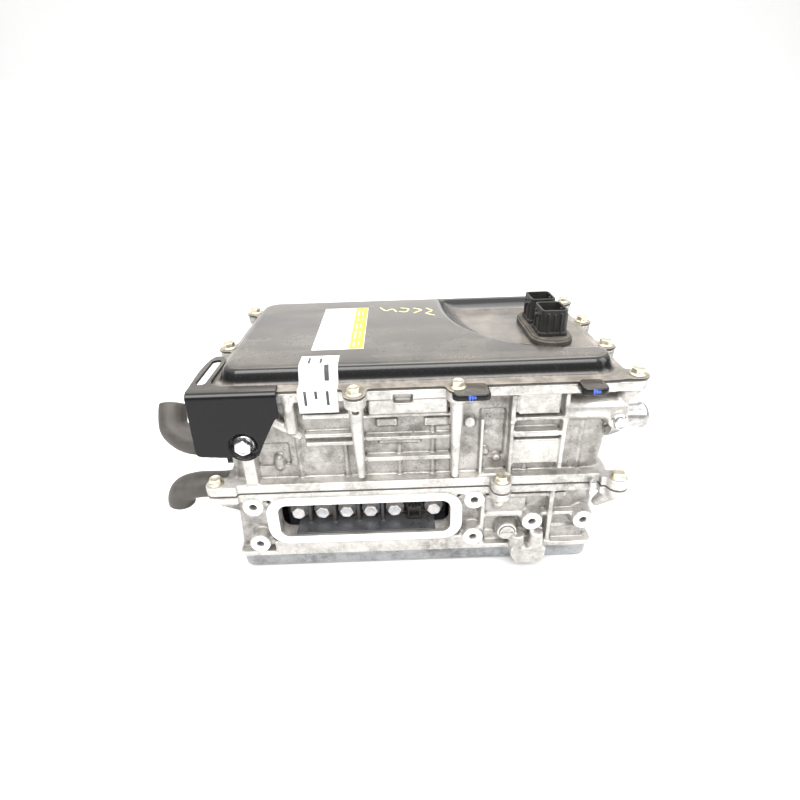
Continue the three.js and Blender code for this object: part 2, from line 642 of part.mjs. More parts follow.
/** Upper housing: deck, walls, front detail, lugs and flanges. */
function upperCasting() {
  const z0 = Z_UPPER;
  const z1 = Z_TOP;
  const body = loft([
    ringOf(LEFT + 2, RIGHT + 1, WALL_FRONT, BACK, CORNER_R, z0),
    ringOf(LEFT - 1, RIGHT + UPPER_RIGHT_FLARE, WALL_FRONT, BACK + 4, CORNER_R, z1),
  ]);
  const bottomFlange = partingOutline(z0, FLANGE_TOP);
  const topFlange = topOutline(z1 - 9, z1, LUG_R - 0.6);
  const lugColumns = COVER_SCREWS.slice(2).map((at) => {
    const [dx, dy] = inward(at);
    const axis = [Math.sign(dx) * 0.8, Math.sign(dy) * 0.6, -1.4];
    return rod([at[0], at[1], z1 - 5], axis, 38, LUG_R - 1, 4, 10);
  });
  const hosePort = hosePortAt(LEFT + 10, UPPER_HOSE_Z, 14);
  const spigotPad = rod(
    [SPIGOT_PLACE[0] - 8, SPIGOT_PLACE[1], SPIGOT_PLACE[2]], [1, 0, 0], 11, 18, 15, 20,
  );
  const screwPad = rod(
    [SPIGOT_SCREW_PLACE[0], FRONT + 16, SPIGOT_SCREW_PLACE[2]], [0, -1, 0], 17, 10, 8.5, 16,
  );
  const sideRibs = [];
  for (let y = 10; y < BACK - 20; y += 34) {
    sideRibs.push(box(LEFT - 3, LEFT + 8, y - 2.5, y + 2.5, z0 + 4, z1 - 4));
    sideRibs.push(box(RIGHT - 6, RIGHT + 8, y - 2.5, y + 2.5, z0 + 4, z1 - 4));
  }
  for (let x = LEFT + 36; x < RIGHT - 20; x += 46) {
    sideRibs.push(box(x - 2.5, x + 2.5, BACK - 8, BACK + 5, z0 + 4, z1 - 4));
  }
  const [bx, bz] = BRACKET_SCREW_PLACE;
  const outside = join([
    body, bottomFlange, topFlange, ...lugColumns, hosePort, spigotPad, screwPad, ...sideRibs,
    upperFrontDetail(), bracketBoss(bx, bz),
  ]);
  const below = box(LEFT - 60, RIGHT + 60, FRONT - 60, BACK + 60, z0 - 60, z0);
  const inside = hollow(z0 + DECK, z1 + 1, 4);
  const pocketX = RIGHT - 113.5;
  const pocket = box(pocketX, pocketX + 23, FRONT - 3, WALL_FRONT + 4.2, z1 - 76, z1 - 27);
  const recess = box(LEFT + 28, LEFT + 58, FRONT - 3, WALL_FRONT + 3.5, z1 - 79, z1 - 55);
  const notch = box(-17.6, -1.2, FRONT - 3, FRONT + 9, z1 - 14, z1 - 4);
  const deckPort = box(RIGHT - 95, RIGHT - 30, BACK - 60, BACK - 20, z0 - 1, z0 + DECK + 1);
  const terminalPort = box(WINDOW_X0 + 4, WINDOW_X1 - 4, WALL_FRONT + WALL + 3, WALL_FRONT + WALL + 26,
    z0 - 1, z0 + DECK + 1);
  const shell = cut(outside, [below, inside, pocket, recess, notch, deckPort, terminalPort]);
  const postFoot = z0 + DECK - 1;
  const posts = boardPosts().map(([x, y]) => rod(
    [x, y, postFoot], [0, 0, 1], BOARD_Z - postFoot, 5, 4, 12,
  ));
  const whole = join([shell, ...posts]);
  const spot = PARTING_SCREW.flange + 1.2;
  return cut(whole, [
    ...coverHoles(z1 - COVER_SCREW.length - 1, z1 + 1),
    ...partingHoles(z0 - 1, FLANGE_TOP + 0.01),
    ...PARTING_SCREWS.map(([x, y]) => rod([x, y, FLANGE_TOP], [0, 0, 1], 14, spot, spot, 12)),
    rod([bx, FRONT - 1, bz], [0, 1, 0], 16, BRACKET_SCREW.shank + HOLE_CLEARANCE),
    rod([LEFT - 20, HOSE_Y, UPPER_HOSE_Z], [1, 0, 0], 40, SPIGOT_R + 0.3, SPIGOT_R + 0.3, 20),
    rod([SPIGOT_PLACE[0] - 30, SPIGOT_PLACE[1], SPIGOT_PLACE[2]], [1, 0, 0], 40, SIDE_SPIGOT.r - 1.5 + 0.3),
    rod([SPIGOT_SCREW_PLACE[0], FRONT - 3, SPIGOT_SCREW_PLACE[2]], [0, 1, 0], 19,
      COVER_SCREW.shank + HOLE_CLEARANCE),
    rod([RIGHT - 10.5, FRONT - 4, z0 - 1], [0, 0, 1], 6, 3.3, 3.3, 12),
    rod([LEFT + 34, HOSE_Y, z0 - 1], [0, 0, 1], DECK + 2, 7, 7, 16),
  ]);
}

/** Where the control board stands on posts. */
function boardPosts() {
  const x0 = LEFT + 24;
  const x1 = RIGHT - 24;
  const y0 = WALL_FRONT + 18;
  const y1 = BACK - 20;
  return [[x0, y0], [x1, y0], [x0, y1], [x1, y1]];
}

/** Gasket under the top cover. */
function topGasket() {
  const z0 = Z_TOP + SEAT_GAP;
  const sheet = topOutline(z0, z0 + GASKET, LUG_R - 0.8);
  return cut(sheet, [hollow(z0 - 1, z0 + 2, 4), ...coverHoles(z0 - 1, z0 + 2)]);
}

/** Rings of the dome's outside, shrunk by a wall. */
function domeSkin(shrink) {
  const x0 = LEFT - TOP_LEFT_OUT + DOME_INSET_SIDE + shrink;
  const x1 = RIGHT + TOP_RIGHT_OUT - DOME_INSET_SIDE - shrink;
  const y0 = FRONT + DOME_INSET_FRONT + shrink;
  const y1 = BACK + TOP_BACK_OUT - DOME_INSET_BACK - shrink;
  const level = (inset, z) => ringOf(
    x0 + inset, x1 - inset, y0 + inset, y1 - inset, 20 - inset * 0.6, z, 6,
  );
  const skirt = level(0, shrink ? Z_COVER - 1 : Z_COVER);
  const steps = [[0, 0.4], [1.6, 2], [3.6, 7], [4.8, 10.5], [7, DOME_RISE - 0.8], [11, DOME_RISE]];
  return loft([skirt, ...steps.map(([inset, rise]) => level(inset, Z_SEAT + rise - shrink))]);
}

/** Superellipse rings that hollow out the sunken corner, open to the right. */
function recessCutter(grow) {
  const cx = RIGHT - 4;
  const cy = BACK + TOP_BACK_OUT - DOME_INSET_BACK - RECESS_RIM + grow;
  const spanX = WIDTH / 2 - 38 + grow;
  const spanY = BACK_DEPTH + 58 + grow;
  const levels = [[16, 0], [10, 1.5], [4, 6], [1, 9.5], [-1, DOME_RISE + 4]];
  const rings = levels.map(([inset, rise]) => {
    const points = [];
    for (let i = 0; i < 40; i += 1) {
      const angle = (i / 40) * Math.PI * 2;
      const c = Math.cos(angle);
      const s = Math.sin(angle);
      const px = Math.sign(c) * Math.abs(c) ** 0.8 * (spanX - inset);
      const py = Math.sign(s) * Math.abs(s) ** 0.8 * (spanY - inset);
      points.push([cx + px, cy + py, Z_RECESS + rise - grow]);
    }
    return points;
  });
  const limit = box(LEFT - 60, RIGHT + 400, FRONT - 60, cy, Z_RECESS - 5, Z_DOME + 60);
  return loft(rings).intersect(limit);
}

/** The two front tabs with turned-down edges. */
function coverTabs() {
  const drop = 5.5;
  const places = [[COVER_SCREWS[0][0] + 9.9, 31, 18], [RIGHT - 25.5, 22, 15]];
  return places.map(([x, width, reach]) => {
    const x0 = x - width / 2;
    const x1 = x + width / 2;
    const blade = slab(roundRect(x0, x1, FRONT - reach, FRONT + 8, 4), Z_COVER, Z_SEAT);
    const skirt = slab(roundRect(x0, x1, FRONT - reach, FRONT + 8, 4), Z_SEAT - drop, Z_SEAT);
    const inner = slab(roundRect(x0 + SHEET, x1 - SHEET, FRONT - reach + SHEET, FRONT + 9, 3),
      Z_SEAT - drop - 1, Z_COVER);
    const clear = box(x0 - 2, x1 + 2, FRONT - reach + 5, FRONT + 9, Z_SEAT - drop - 1, Z_COVER);
    return blade.add(cut(skirt, [inner, clear]));
  });
}

/** Oval outline of the plinth, shrunk by an inset. */
function plinthShape(inset) {
  const w = PLINTH_WIDTH / 2 - inset;
  const d = PLINTH_DEPTH / 2 - inset;
  return roundRect(CONNECTOR_X - w, CONNECTOR_X + w, CONNECTOR_Y - d, CONNECTOR_Y + d, w - 0.5);
}

/** Pressed steel cover: flange, lugs, dome, sunken corner and tabs. */
function topCover() {
  const flange = topOutline(Z_COVER, Z_SEAT, LUG_R);
  const outer = join([flange, domeSkin(0), ...coverTabs()]).subtract(recessCutter(0));
  const inner = domeSkin(SHEET).subtract(recessCutter(SHEET));
  return cut(outer, [
    inner,
    slab(plinthShape(COVER_HOLE_INSET), Z_COVER - 2, Z_DOME + 10),
    ...coverHoles(Z_COVER - 1, Z_SEAT + 1),
  ]);
}

// ---- front bracket and coolant pieces -----------------------------------------------------

/** Black bent bracket: front plate, top plate with a long slot, dimple round the screw. */
function sideBracket() {
  const yo = FRONT - BRACKET_STANDOFF;
  const zTop = Z_SEAT + 0.4 + BRACKET_T;
  const x0 = LEFT - 16;
  const x1 = x0 + 74;
  const [bx, bz] = BRACKET_SCREW_PLACE;
  const face = new THREE.Shape();
  face.moveTo(x0, zTop - BRACKET_BEND_R);
  face.lineTo(x0 - 2, bz - 4);
  face.quadraticCurveTo(x0 - 2, bz - 9, x0 + 4, bz - 9.5);
  face.lineTo(x0 + 24, bz - 11);
  face.lineTo(bx + 12, bz - 10);
  face.quadraticCurveTo(bx + 20, bz + 8, x1 - 4, zTop - 27);
  face.lineTo(x1, zTop - 24);
  face.lineTo(x1, zTop - BRACKET_BEND_R);
  const plate = facePlate(face, yo, yo + BRACKET_T);
  const bendOuter = rod([x0, yo + BRACKET_BEND_R, zTop - BRACKET_BEND_R], [1, 0, 0], x1 - x0, BRACKET_BEND_R,
    BRACKET_BEND_R, 24);
  const bendInner = rod([x0 - 1, yo + BRACKET_BEND_R, zTop - BRACKET_BEND_R], [1, 0, 0], x1 - x0 + 2,
    BRACKET_BEND_R - BRACKET_T, BRACKET_BEND_R - BRACKET_T, 24);
  const corner = box(x0, x1, yo, yo + BRACKET_BEND_R, zTop - BRACKET_BEND_R, zTop);
  const bend = bendOuter.intersect(corner).subtract(bendInner);
  const top = new THREE.Shape();
  top.moveTo(x1, yo + BRACKET_BEND_R);
  top.lineTo(x0, yo + BRACKET_BEND_R);
  top.lineTo(x0 - 2, yo + 44);
  top.quadraticCurveTo(x0 - 2, yo + 78, x0 + 4, yo + 80);
  top.quadraticCurveTo(x0 + 13, yo + 82, x0 + 15.5, yo + 66);
  top.lineTo(x0 + 15.5, yo + 24);
  top.quadraticCurveTo(x0 + 18, yo + 14, x0 + 30, yo + 13.5);
  top.lineTo(x1, yo + 12.5);
  const deck = slab(top, zTop - BRACKET_T, zTop);
  const slot = slab(roundRect(x0 + 3.5, x0 + 11.5, yo + 18, yo + 70, 3.9), zTop - 5, zTop + 2);
  const cup = rod([bx, yo, bz], [0, 1, 0], DIMPLE_DEPTH + BRACKET_T, 15, 11.5, 20);
  const hollowCup = rod([bx, yo - 0.1, bz], [0, 1, 0], DIMPLE_DEPTH + 0.1, 13.2, 10, 20);
  const hole = rod([bx, yo - 2, bz], [0, 1, 0], 20, BRACKET_SCREW.shank + HOLE_CLEARANCE);
  const plateOpen = plate.subtract(rod([bx, yo - 1, bz], [0, 1, 0], BRACKET_T + 2, 13.4, 13.4, 20));
  return cut(join([plateOpen, bend, deck, cup.subtract(hollowCup)]), [slot, hole]);
}

/** Centre line of the upper hose: left out of the wall, then up and back. */
function upperHoseLine() {
  const x = LEFT - 5;
  const z = UPPER_HOSE_Z;
  return new THREE.CatmullRomCurve3([
    new THREE.Vector3(x, HOSE_Y, z),
    new THREE.Vector3(x - 24, HOSE_Y, z),
    new THREE.Vector3(x - 48, HOSE_Y + 0.5, z + 3),
    new THREE.Vector3(x - 62, HOSE_Y + 6, z + 13),
    new THREE.Vector3(x - 65, HOSE_Y + 16, z + 25),
    new THREE.Vector3(x - 65, HOSE_Y + 22, z + 32),
  ], false, 'centripetal');
}

/** Centre line of the lower hose: left out of the wall, then down. */
function lowerHoseLine() {
  const x = LEFT - 5;
  const z = LOWER_HOSE_Z;
  return new THREE.CatmullRomCurve3([
    new THREE.Vector3(x, HOSE_Y, z),
    new THREE.Vector3(x - 24, HOSE_Y, z),
    new THREE.Vector3(x - 50, HOSE_Y, z),
    new THREE.Vector3(x - 65, HOSE_Y, z - 5),
    new THREE.Vector3(x - 71, HOSE_Y, z - 15),
    new THREE.Vector3(x - 72, HOSE_Y, z - 22),
  ], false, 'centripetal');
}

/** Metal spigot pressed into the wall, inside a hose. */
function coolantSpigot(z) {
  const pipe = rod([LEFT - 24, HOSE_Y, z], [1, 0, 0], 36, SPIGOT_R, SPIGOT_R, 20);
  const bore = rod([LEFT - 29, HOSE_Y, z], [1, 0, 0], 42, SPIGOT_BORE_R, SPIGOT_BORE_R, 20);
  return pipe.subtract(bore);
}

/** Spring band clamp round a hose, with two ears. */
function hoseClamp(z) {
  const x = LEFT - 20;
  const r = HOSE_OD / 2 + HOSE_CLEARANCE;
  const band = rod([x, HOSE_Y, z], [1, 0, 0], 11, r + 1.2, r + 1.2, 24);
  const ears = [-3.2, 3.2].map((side) => box(x + 2, x + 9, HOSE_Y + side - 0.9, HOSE_Y + side + 0.9,
    z - r - 9, z - r - 0.2));
  const bore = rod([x - 1, HOSE_Y, z], [1, 0, 0], 13, r, r, 24);
  return join([band, ...ears]).subtract(bore);
}

/** Straight spigot with an end bead, at the right. */
function sideSpigot() {
  const [x, y, z] = SPIGOT_PLACE;
  const { r, bore, length, bead } = SIDE_SPIGOT;
  const x0 = x + 3 + GAP;
  const root = rod([x - 22, y, z], [1, 0, 0], 26, r - 1.5, r - 1.5, 20);
  const pipe = rod([x0, y, z], [1, 0, 0], length - 9, r, r, 24);
  const rim = rod([x0 + length - 9.5, y, z], [1, 0, 0], 3.5, r, bead, 24);
  const nose = rod([x0 + length - 6, y, z], [1, 0, 0], 3, bead, r - 0.6, 24);
  return join([root, pipe, rim, nose]).subtract(rod([x - 24, y, z], [1, 0, 0], length + 40, bore, bore, 20));
}

// ---- terminals ----------------------------------------------------------------------------

const TERMINAL_FACE = FRONT + TERMINAL_SETBACK;
const LEDGE_TOP = WINDOW_SILL + 1.8;
const TERMINAL_Z = LEDGE_TOP + TERMINAL_SCREW.flange + GAP;
const INTERLOCK_X = (TERMINAL_XS[TERMINALS_IN_ROW - 1] + TERMINAL_XS[TERMINALS_IN_ROW]) / 2;

/** Black insulating block behind and under the terminals. */
function terminalBlock() {
  const x0 = WINDOW_X0 + 2;
  const x1 = WINDOW_X1 - 2;
  const yb = TERMINAL_FACE + BUSBAR.thickness + GAP;
  const ledge = box(x0 + 12, x1 - 12, FRONT + 3, yb + 2, WINDOW_SILL + GAP, LEDGE_TOP);
  const body = box(x0, x1, yb, yb + 15, 34, WINDOW_SILL + 27);
  const fences = [];
  for (let i = 0; i < TERMINALS_IN_ROW; i += 1) {
    const x = TERMINAL_XS[i] + TERMINAL_PITCH / 2;
    fences.push(box(x - 1.6, x + 1.6, TERMINAL_FACE - 10, yb + 1, LEDGE_TOP - 1, WINDOW_SILL + 25));
  }
  const r = TERMINAL_SCREW.shank + HOLE_CLEARANCE;
  const holes = TERMINAL_XS.map((x) => rod([x, yb - 1, TERMINAL_Z], [0, 1, 0], 14, r, r, 12));
  const seat = box(INTERLOCK_X - 9, INTERLOCK_X + 9, TERMINAL_FACE - 12, yb, LEDGE_TOP, WINDOW_SILL + 30);
  return cut(join([ledge, body, ...fences]), [...holes, seat]);
}

/** Copper strip: upright pad with a screw hole and a leg to the back. */
function busbar(x) {
  const { width, thickness, height, reach } = BUSBAR;
  const z0 = LEDGE_TOP + GAP;
  const z1 = z0 + height;
  const pad = box(x - width / 2, x + width / 2, TERMINAL_FACE, TERMINAL_FACE + thickness, z0, z1);
  const leg = box(x - width / 2, x + width / 2, TERMINAL_FACE, TERMINAL_FACE + reach, z1 - thickness, z1);
  const r = TERMINAL_SCREW.shank + HOLE_CLEARANCE;
  return pad.add(leg).subtract(rod([x, TERMINAL_FACE - 1, TERMINAL_Z], [0, 1, 0], 5, r, r, 12));
}

/** Small plug that closes the interlock loop, between the last two terminals. */
function interlockConnector() {
  const x = INTERLOCK_X;
  const y0 = TERMINAL_FACE - 10;
  const y1 = TERMINAL_FACE + BUSBAR.thickness - GAP;
  const body = box(x - 6.5, x + 6.5, y0, y1, LEDGE_TOP + GAP, LEDGE_TOP + 16);
  const cap = box(x - 8, x + 8, y0 + 3, y1, LEDGE_TOP + 12, LEDGE_TOP + 19);
  const mouth = box(x - 4.5, x + 4.5, y0 - 1, y0 + 7, LEDGE_TOP + 3, LEDGE_TOP + 10.5);
  const latch = box(x - 2, x + 2, y0 - 1.6, y0 + 4, LEDGE_TOP + 13, LEDGE_TOP + 15.5);
  return join([body, cap]).subtract(mouth).add(latch);
}

// ---- headers on top -----------------------------------------------------------------------

/** Oval plinth that closes the hole in the cover. */
function connectorBase() {
  const z0 = Z_RECESS + GAP;
  const z1 = z0 + PLINTH.height;
  const foot = slab(plinthShape(0), z0, z1 - 2, 5);
  const step = slab(plinthShape(1.4), z1 - 2.5, z1, 5);
  const plug = slab(plinthShape(COVER_HOLE_INSET + GAP), Z_COVER - 4, z0 + 1, 5);
  return join([foot, step, plug]);
}

/** One header: shroud with an open socket, key rib, side ribs and pins. */
function header() {
  const { width, depth, height, wall, socket } = HEADER;
  const w = width / 2;
  const d = depth / 2;
  const shroud = slab(roundRect(-w, w, -d, d, 4), 0, height);
  const foot = slab(roundRect(-w - 1.5, w + 1.5, -d - 1.5, d + 1.5, 4), 0, 3);
  const mouth = slab(roundRect(-w + wall, w - wall, -d + wall, d - wall, 2.5), height - socket, height + 1);
  const ribs = [-6, 6].map((x) => box(x - 1, x + 1, -d - 1.4, -d + 1, 2, height - 3));
  const flank = [-7, 7].map((y) => box(-w - 1.4, -w + 1, y - 1.2, y + 1.2, 2, height - 5));
  const latch = box(-w - 2.6, -w + 1, -3, 3, height - 9, height - 6);
  const key = box(w - wall - 1.6, w - 1, -1.5, 1.5, height - socket, height - 2);
  const pins = [];
  for (let row = 0; row < 2; row += 1) {
    for (let i = 0; i < 4; i += 1) {
      const x = -4 + row * 7;
      const y = -7.5 + i * 5;
      pins.push(box(x - 0.6, x + 0.6, y - 0.6, y + 0.6, height - socket - 1, height - socket + 9));
    }
  }
  return join([shroud, foot, ...ribs, ...flank, latch]).subtract(mouth).add(join([key, ...pins]));
}

// ---- what the housings hold ---------------------------------------------------------------

const Z_DECK = Z_UPPER + DECK;
const CAPACITOR_Z = Z_DECK + 44;
const CAPACITOR_HEIGHT = BOARD_Z - CAPACITOR_Z - 3.4; // clear under the control board
const BAY_X0 = LEFT + 60; // ends of the row of parts in the lower casting
const BAY_X1 = RIGHT - 20;

/** A place along the lower row, from 0 at its left end to 1 at its right end. */
function bay(share) {
  return BAY_X0 + share * (BAY_X1 - BAY_X0);
}

/** Flat heat exchanger on the deck, with a port at the left and one below. */
function coldPlate() {
  const z0 = Z_DECK + GAP;
  const body = slab(roundRect(LEFT + 17, RIGHT - 40, -62, BACK - 62, 8), z0, z0 + 16);
  const fins = [];
  for (let y = -50; y < BACK - 72; y += 14) {
    fins.push(box(LEFT + 30, RIGHT - 56, y, y + 3, z0 + 14, z0 + 17.5));
  }
  const side = rod([LEFT + 12, HOSE_Y, UPPER_HOSE_Z], [1, 0, 0], 22, 6, 6, 16);
  const under = rod([LEFT + 34, HOSE_Y, z0 - 1], [0, 0, 1], 9, 6, 6, 16);
  return cut(join([body, ...fins]), [side, under]);
}

/** Switching module on the cold plate. */
function powerModule() {
  const z0 = Z_DECK + GAP + 17.5 + GAP;
  const body = box(LEFT + 40, RIGHT - 70, -48, BACK - 70, z0, z0 + 14);
  const cells = [];
  for (let x = LEFT + 48; x < RIGHT - 100; x += 34) {
    cells.push(box(x, x + 26, -42, BACK - 76, z0 + 13, z0 + 17));
  }
  return join([body, ...cells]);
}

/** Film capacitor bank above the module. */
function smoothingCapacitor() {
  const z0 = CAPACITOR_Z;
  const case1 = slab(roundRect(LEFT + 44, RIGHT - 60, -46, BACK - 72, 6), z0, z0 + CAPACITOR_HEIGHT);
  const tabs = [LEFT + 44, RIGHT - 60].map((x) => box(x - 8, x + 8, -10, 6, z0, z0 + 4));
  return join([case1, ...tabs]);
}

/** Laminated bar from the capacitor to the module. */
function dcBusbar() {
  const z0 = Z_DECK + 36.5;
  const y0 = -50;
  const run = box(LEFT + 60, RIGHT - 90, y0 - 4, y0 - 2, z0, z0 + CAPACITOR_HEIGHT - 2);
  const shelf = box(LEFT + 60, RIGHT - 90, y0 - 4, -10, z0, z0 + 2);
  return join([run, shelf]);
}

/** Current sensor round three of the phase bars. */
function currentSensor() {
  const z0 = Z_DECK + 6;
  const x0 = TERMINAL_XS[0] - 4;
  const x1 = TERMINAL_XS[2] + 14;
  const y0 = WALL_FRONT + WALL + 4;
  const body = box(x0, x1, y0, y0 + 14, z0, z0 + 26);
  const windows = [0, 1, 2].map((i) => {
    const x = TERMINAL_XS[i] + 5;
    return box(x - 5, x + 5, y0 - 1, y0 + 15, z0 + 8, z0 + 16);
  });
  return cut(body, windows);
}

/** Board on the four posts of the upper casting. */
function controlBoard() {
  const z0 = BOARD_Z + GAP;
  const sheet = slab(roundRect(LEFT + 16, RIGHT - 16, WALL_FRONT + 10, BACK - 12, 4), z0, z0 + 1.6);
  const chips = [];
  for (let i = 0; i < 4; i += 1) {
    const x = LEFT + 50.5 + i * 52;
    chips.push(box(x, x + 22, -30, -8, z0 + 1.2, z0 + 4.2));
    chips.push(box(x + 2, x + 14, 28, 44, z0 + 1.2, z0 + 6));
  }
  return join([sheet, ...chips]);
}

/** Inductor core with three windings, in the lower casting. */
function reactor() {
  const z0 = 8 + GAP;
  const x0 = bay(0);
  const x1 = bay(0.385);
  const core = box(x0, x1, -30, 60, z0, z0 + 50);
  const opening = box(x0 + 24, x1 - 24, -31, 61, z0 + 16, z0 + 34);
  const middle = (x0 + x1) / 2;
  const coils = [-20, 10, 40].map((y) => rod([middle, y, z0 + 42], [0, 1, 0], 14, 24, 24, 20));
  return join([core.subtract(opening), ...coils]);
}

/** Transformer of the converter. */
function transformer() {
  const z0 = 8 + GAP;
  const x0 = bay(0.5);
  const x1 = bay(0.72);
  const core = box(x0, x1, -20, 40, z0, z0 + 44);
  const winding = rod([(x0 + x1) / 2, 10, z0 + 43], [0, 0, 1], 16, 24, 24, 24);
  return join([core, winding]);
}

/** Board of the converter, beside the transformer. */
function converterBoard() {
  const z0 = 8 + GAP;
  const x0 = bay(0.76);
  const x1 = bay(1);
  const sheet = box(x0, x1, -60, BACK - 24, z0 + 4, z0 + 5.6);
  const feet = [[x0 + 4, -56], [x1 - 4, -56], [x0 + 4, BACK - 28], [x1 - 4, BACK - 28]];
  const posts = feet.map(([x, y]) => rod([x, y, z0], [0, 0, 1], 5, 3, 3, 12));
  const cans = [];
  for (let i = 0; i < 3; i += 1) {
    cans.push(rod([x0 + 15, -30 + i * 34, z0 + 5], [0, 0, 1], 30, 9, 9, 16));
    cans.push(box(x0 + 27, x1 - 8, -42 + i * 34, -20 + i * 34, z0 + 5, z0 + 17));
  }
  return join([sheet, ...posts, ...cans]);
}

// ---- assembly -----------------------------------------------------------------------------

addPart('bottom_cover', bottomCover(), CAST());
addPart('bottom_cover_gasket', bottomGasket(), SEAL());
addPart('lower_casting', lowerCasting(), CAST());
addPart('parting_gasket', partingGasket(), SEAL());
addPart('upper_casting', upperCasting(), CAST());
addPart('top_cover_gasket', topGasket(), SEAL());
addPart('top_cover', topCover(), BLACK_STEEL());

COVER_SCREWS.forEach(([x, y], i) => {
  addPart(`cover_bolt_${i + 1}`, flangeScrew(COVER_SCREW), ZINC(), [x, y, Z_SEAT + 0.05]);
});
PARTING_SCREWS.forEach(([x, y], i) => {
  addPart(`parting_bolt_${i + 1}`, flangeScrew(PARTING_SCREW), ZINC(), [x, y, FLANGE_TOP + 0.05]);
});

addPart('side_bracket', sideBracket(), BLACK_STEEL());
const bracketSeat = FRONT - BRACKET_STANDOFF + DIMPLE_DEPTH - 0.05;
addPart('bracket_bolt', flangeScrew(BRACKET_SCREW), SILVER(),
  [BRACKET_SCREW_PLACE[0], bracketSeat, BRACKET_SCREW_PLACE[1]], [Math.PI / 2, 0, 0]);

addPart('coolant_spigot_upper', coolantSpigot(UPPER_HOSE_Z), CAST());
addPart('coolant_spigot_lower', coolantSpigot(LOWER_HOSE_Z), CAST());
addPart('coolant_hose_upper', tube(upperHoseLine(), HOSE_OD / 2, HOSE_BORE / 2, 10, 16), RUBBER());
addPart('coolant_hose_lower', tube(lowerHoseLine(), HOSE_OD / 2, HOSE_BORE / 2, 10, 16), RUBBER());
addPart('hose_clamp_upper', hoseClamp(UPPER_HOSE_Z), BLACK_STEEL());
addPart('hose_clamp_lower', hoseClamp(LOWER_HOSE_Z), BLACK_STEEL());
addPart('side_spigot', sideSpigot(), CAST());
addPart('spigot_bolt', flangeScrew(COVER_SCREW), SILVER(),
  [SPIGOT_SCREW_PLACE[0], FRONT - 1.05, SPIGOT_SCREW_PLACE[2]], [Math.PI / 2, 0, 0]);

addPart('terminal_block', terminalBlock(), BLACK_PLASTIC());
TERMINAL_XS.forEach((x, i) => {
  addPart(`terminal_busbar_${i + 1}`, busbar(x), COPPER());
  addPart(`terminal_bolt_${i + 1}`, flangeScrew(TERMINAL_SCREW), SILVER(),
    [x, TERMINAL_FACE - 0.05, TERMINAL_Z], [Math.PI / 2, 0, 0]);
});
addPart('interlock_connector', interlockConnector(), BLACK_PLASTIC());

const plug = rod([0, 0, -6], [0, 0, 1], 7, PLUG_R, PLUG_R, 24);
const plugSlot = box(-PLUG_R + 1.5, PLUG_R - 1.5, -1, 1, -0.6, 2);
addPart('slotted_plug', plug.subtract(plugSlot), CAST(),
  [PLUG_PLACE[0], FRONT, PLUG_PLACE[1]], [Math.PI / 2, 0, 0]);
addPart('locating_pin', rod([RIGHT - 10.5, FRONT - 4, Z_PARTING - 7], [0, 0, 1], 13, 3, 3, 16), SILVER());

addPart('connector_base', connectorBase(), BLACK_PLASTIC());
const headerZ = Z_RECESS + 2 * GAP + PLINTH.height;
addPart('signal_connector_front', header(), BLACK_PLASTIC(),
  [CONNECTOR_X, CONNECTOR_Y - HEADER_STEP / 2 - 2, headerZ]);
addPart('signal_connector_rear', header(), BLACK_PLASTIC(),
  [CONNECTOR_X - 1, CONNECTOR_Y + HEADER_STEP / 2 - 2, headerZ]);

addPart('cold_plate', coldPlate(), CAST());
addPart('power_module', powerModule(), RESIN());
addPart('smoothing_capacitor', smoothingCapacitor(), RESIN());
addPart('dc_busbar', dcBusbar(), COPPER());
addPart('current_sensor', currentSensor(), RESIN());
addPart('control_board', controlBoard(), BOARD());
addPart('reactor', reactor(), RESIN());
addPart('transformer', transformer(), RESIN());
addPart('converter_board', converterBoard(), BOARD());

export default group;
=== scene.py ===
"""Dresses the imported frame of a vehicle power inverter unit.

The castings, covers, fittings and terminals come from the frame's own solids. Classes below round
them, add the detail that the solids leave out, and give every piece its procedural finish.
Lengths inside the classes are millimetres in the frame's axes: X right, Y back, Z up.
"""

from __future__ import annotations

import logging
import math
from dataclasses import dataclass, field
from enum import Enum

import bmesh
import bpy
from mathutils import Matrix, Vector


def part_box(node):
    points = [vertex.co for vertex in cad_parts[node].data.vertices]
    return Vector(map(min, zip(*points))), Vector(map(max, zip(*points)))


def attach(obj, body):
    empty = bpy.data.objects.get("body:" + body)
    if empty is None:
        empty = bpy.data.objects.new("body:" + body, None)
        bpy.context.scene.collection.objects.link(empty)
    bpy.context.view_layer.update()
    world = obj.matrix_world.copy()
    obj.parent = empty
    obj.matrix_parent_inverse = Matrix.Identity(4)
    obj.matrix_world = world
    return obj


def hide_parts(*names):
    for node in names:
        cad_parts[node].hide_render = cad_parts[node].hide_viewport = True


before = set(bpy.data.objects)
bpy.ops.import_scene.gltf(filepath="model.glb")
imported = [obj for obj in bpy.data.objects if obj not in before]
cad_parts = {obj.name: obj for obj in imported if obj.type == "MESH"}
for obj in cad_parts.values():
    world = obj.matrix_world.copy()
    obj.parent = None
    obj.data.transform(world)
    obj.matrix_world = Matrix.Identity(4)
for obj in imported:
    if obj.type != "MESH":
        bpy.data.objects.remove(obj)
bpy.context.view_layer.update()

MM = 0.001
LOG = logging.getLogger("inverter_unit")
Point = tuple[float, float, float]
Ring = list[Point]


class Slot(Enum):
    """Names of material slots."""

    CAST = "cast_aluminium"
    BLACK_STEEL = "black_steel"
    ZINC = "zinc_steel"
    SILVER = "silver_steel"
    COPPER = "copper_bar"
    RUBBER = "hose_rubber"
    PLASTIC = "black_plastic"


# ---- finishes -----------------------------------------------------------------------------


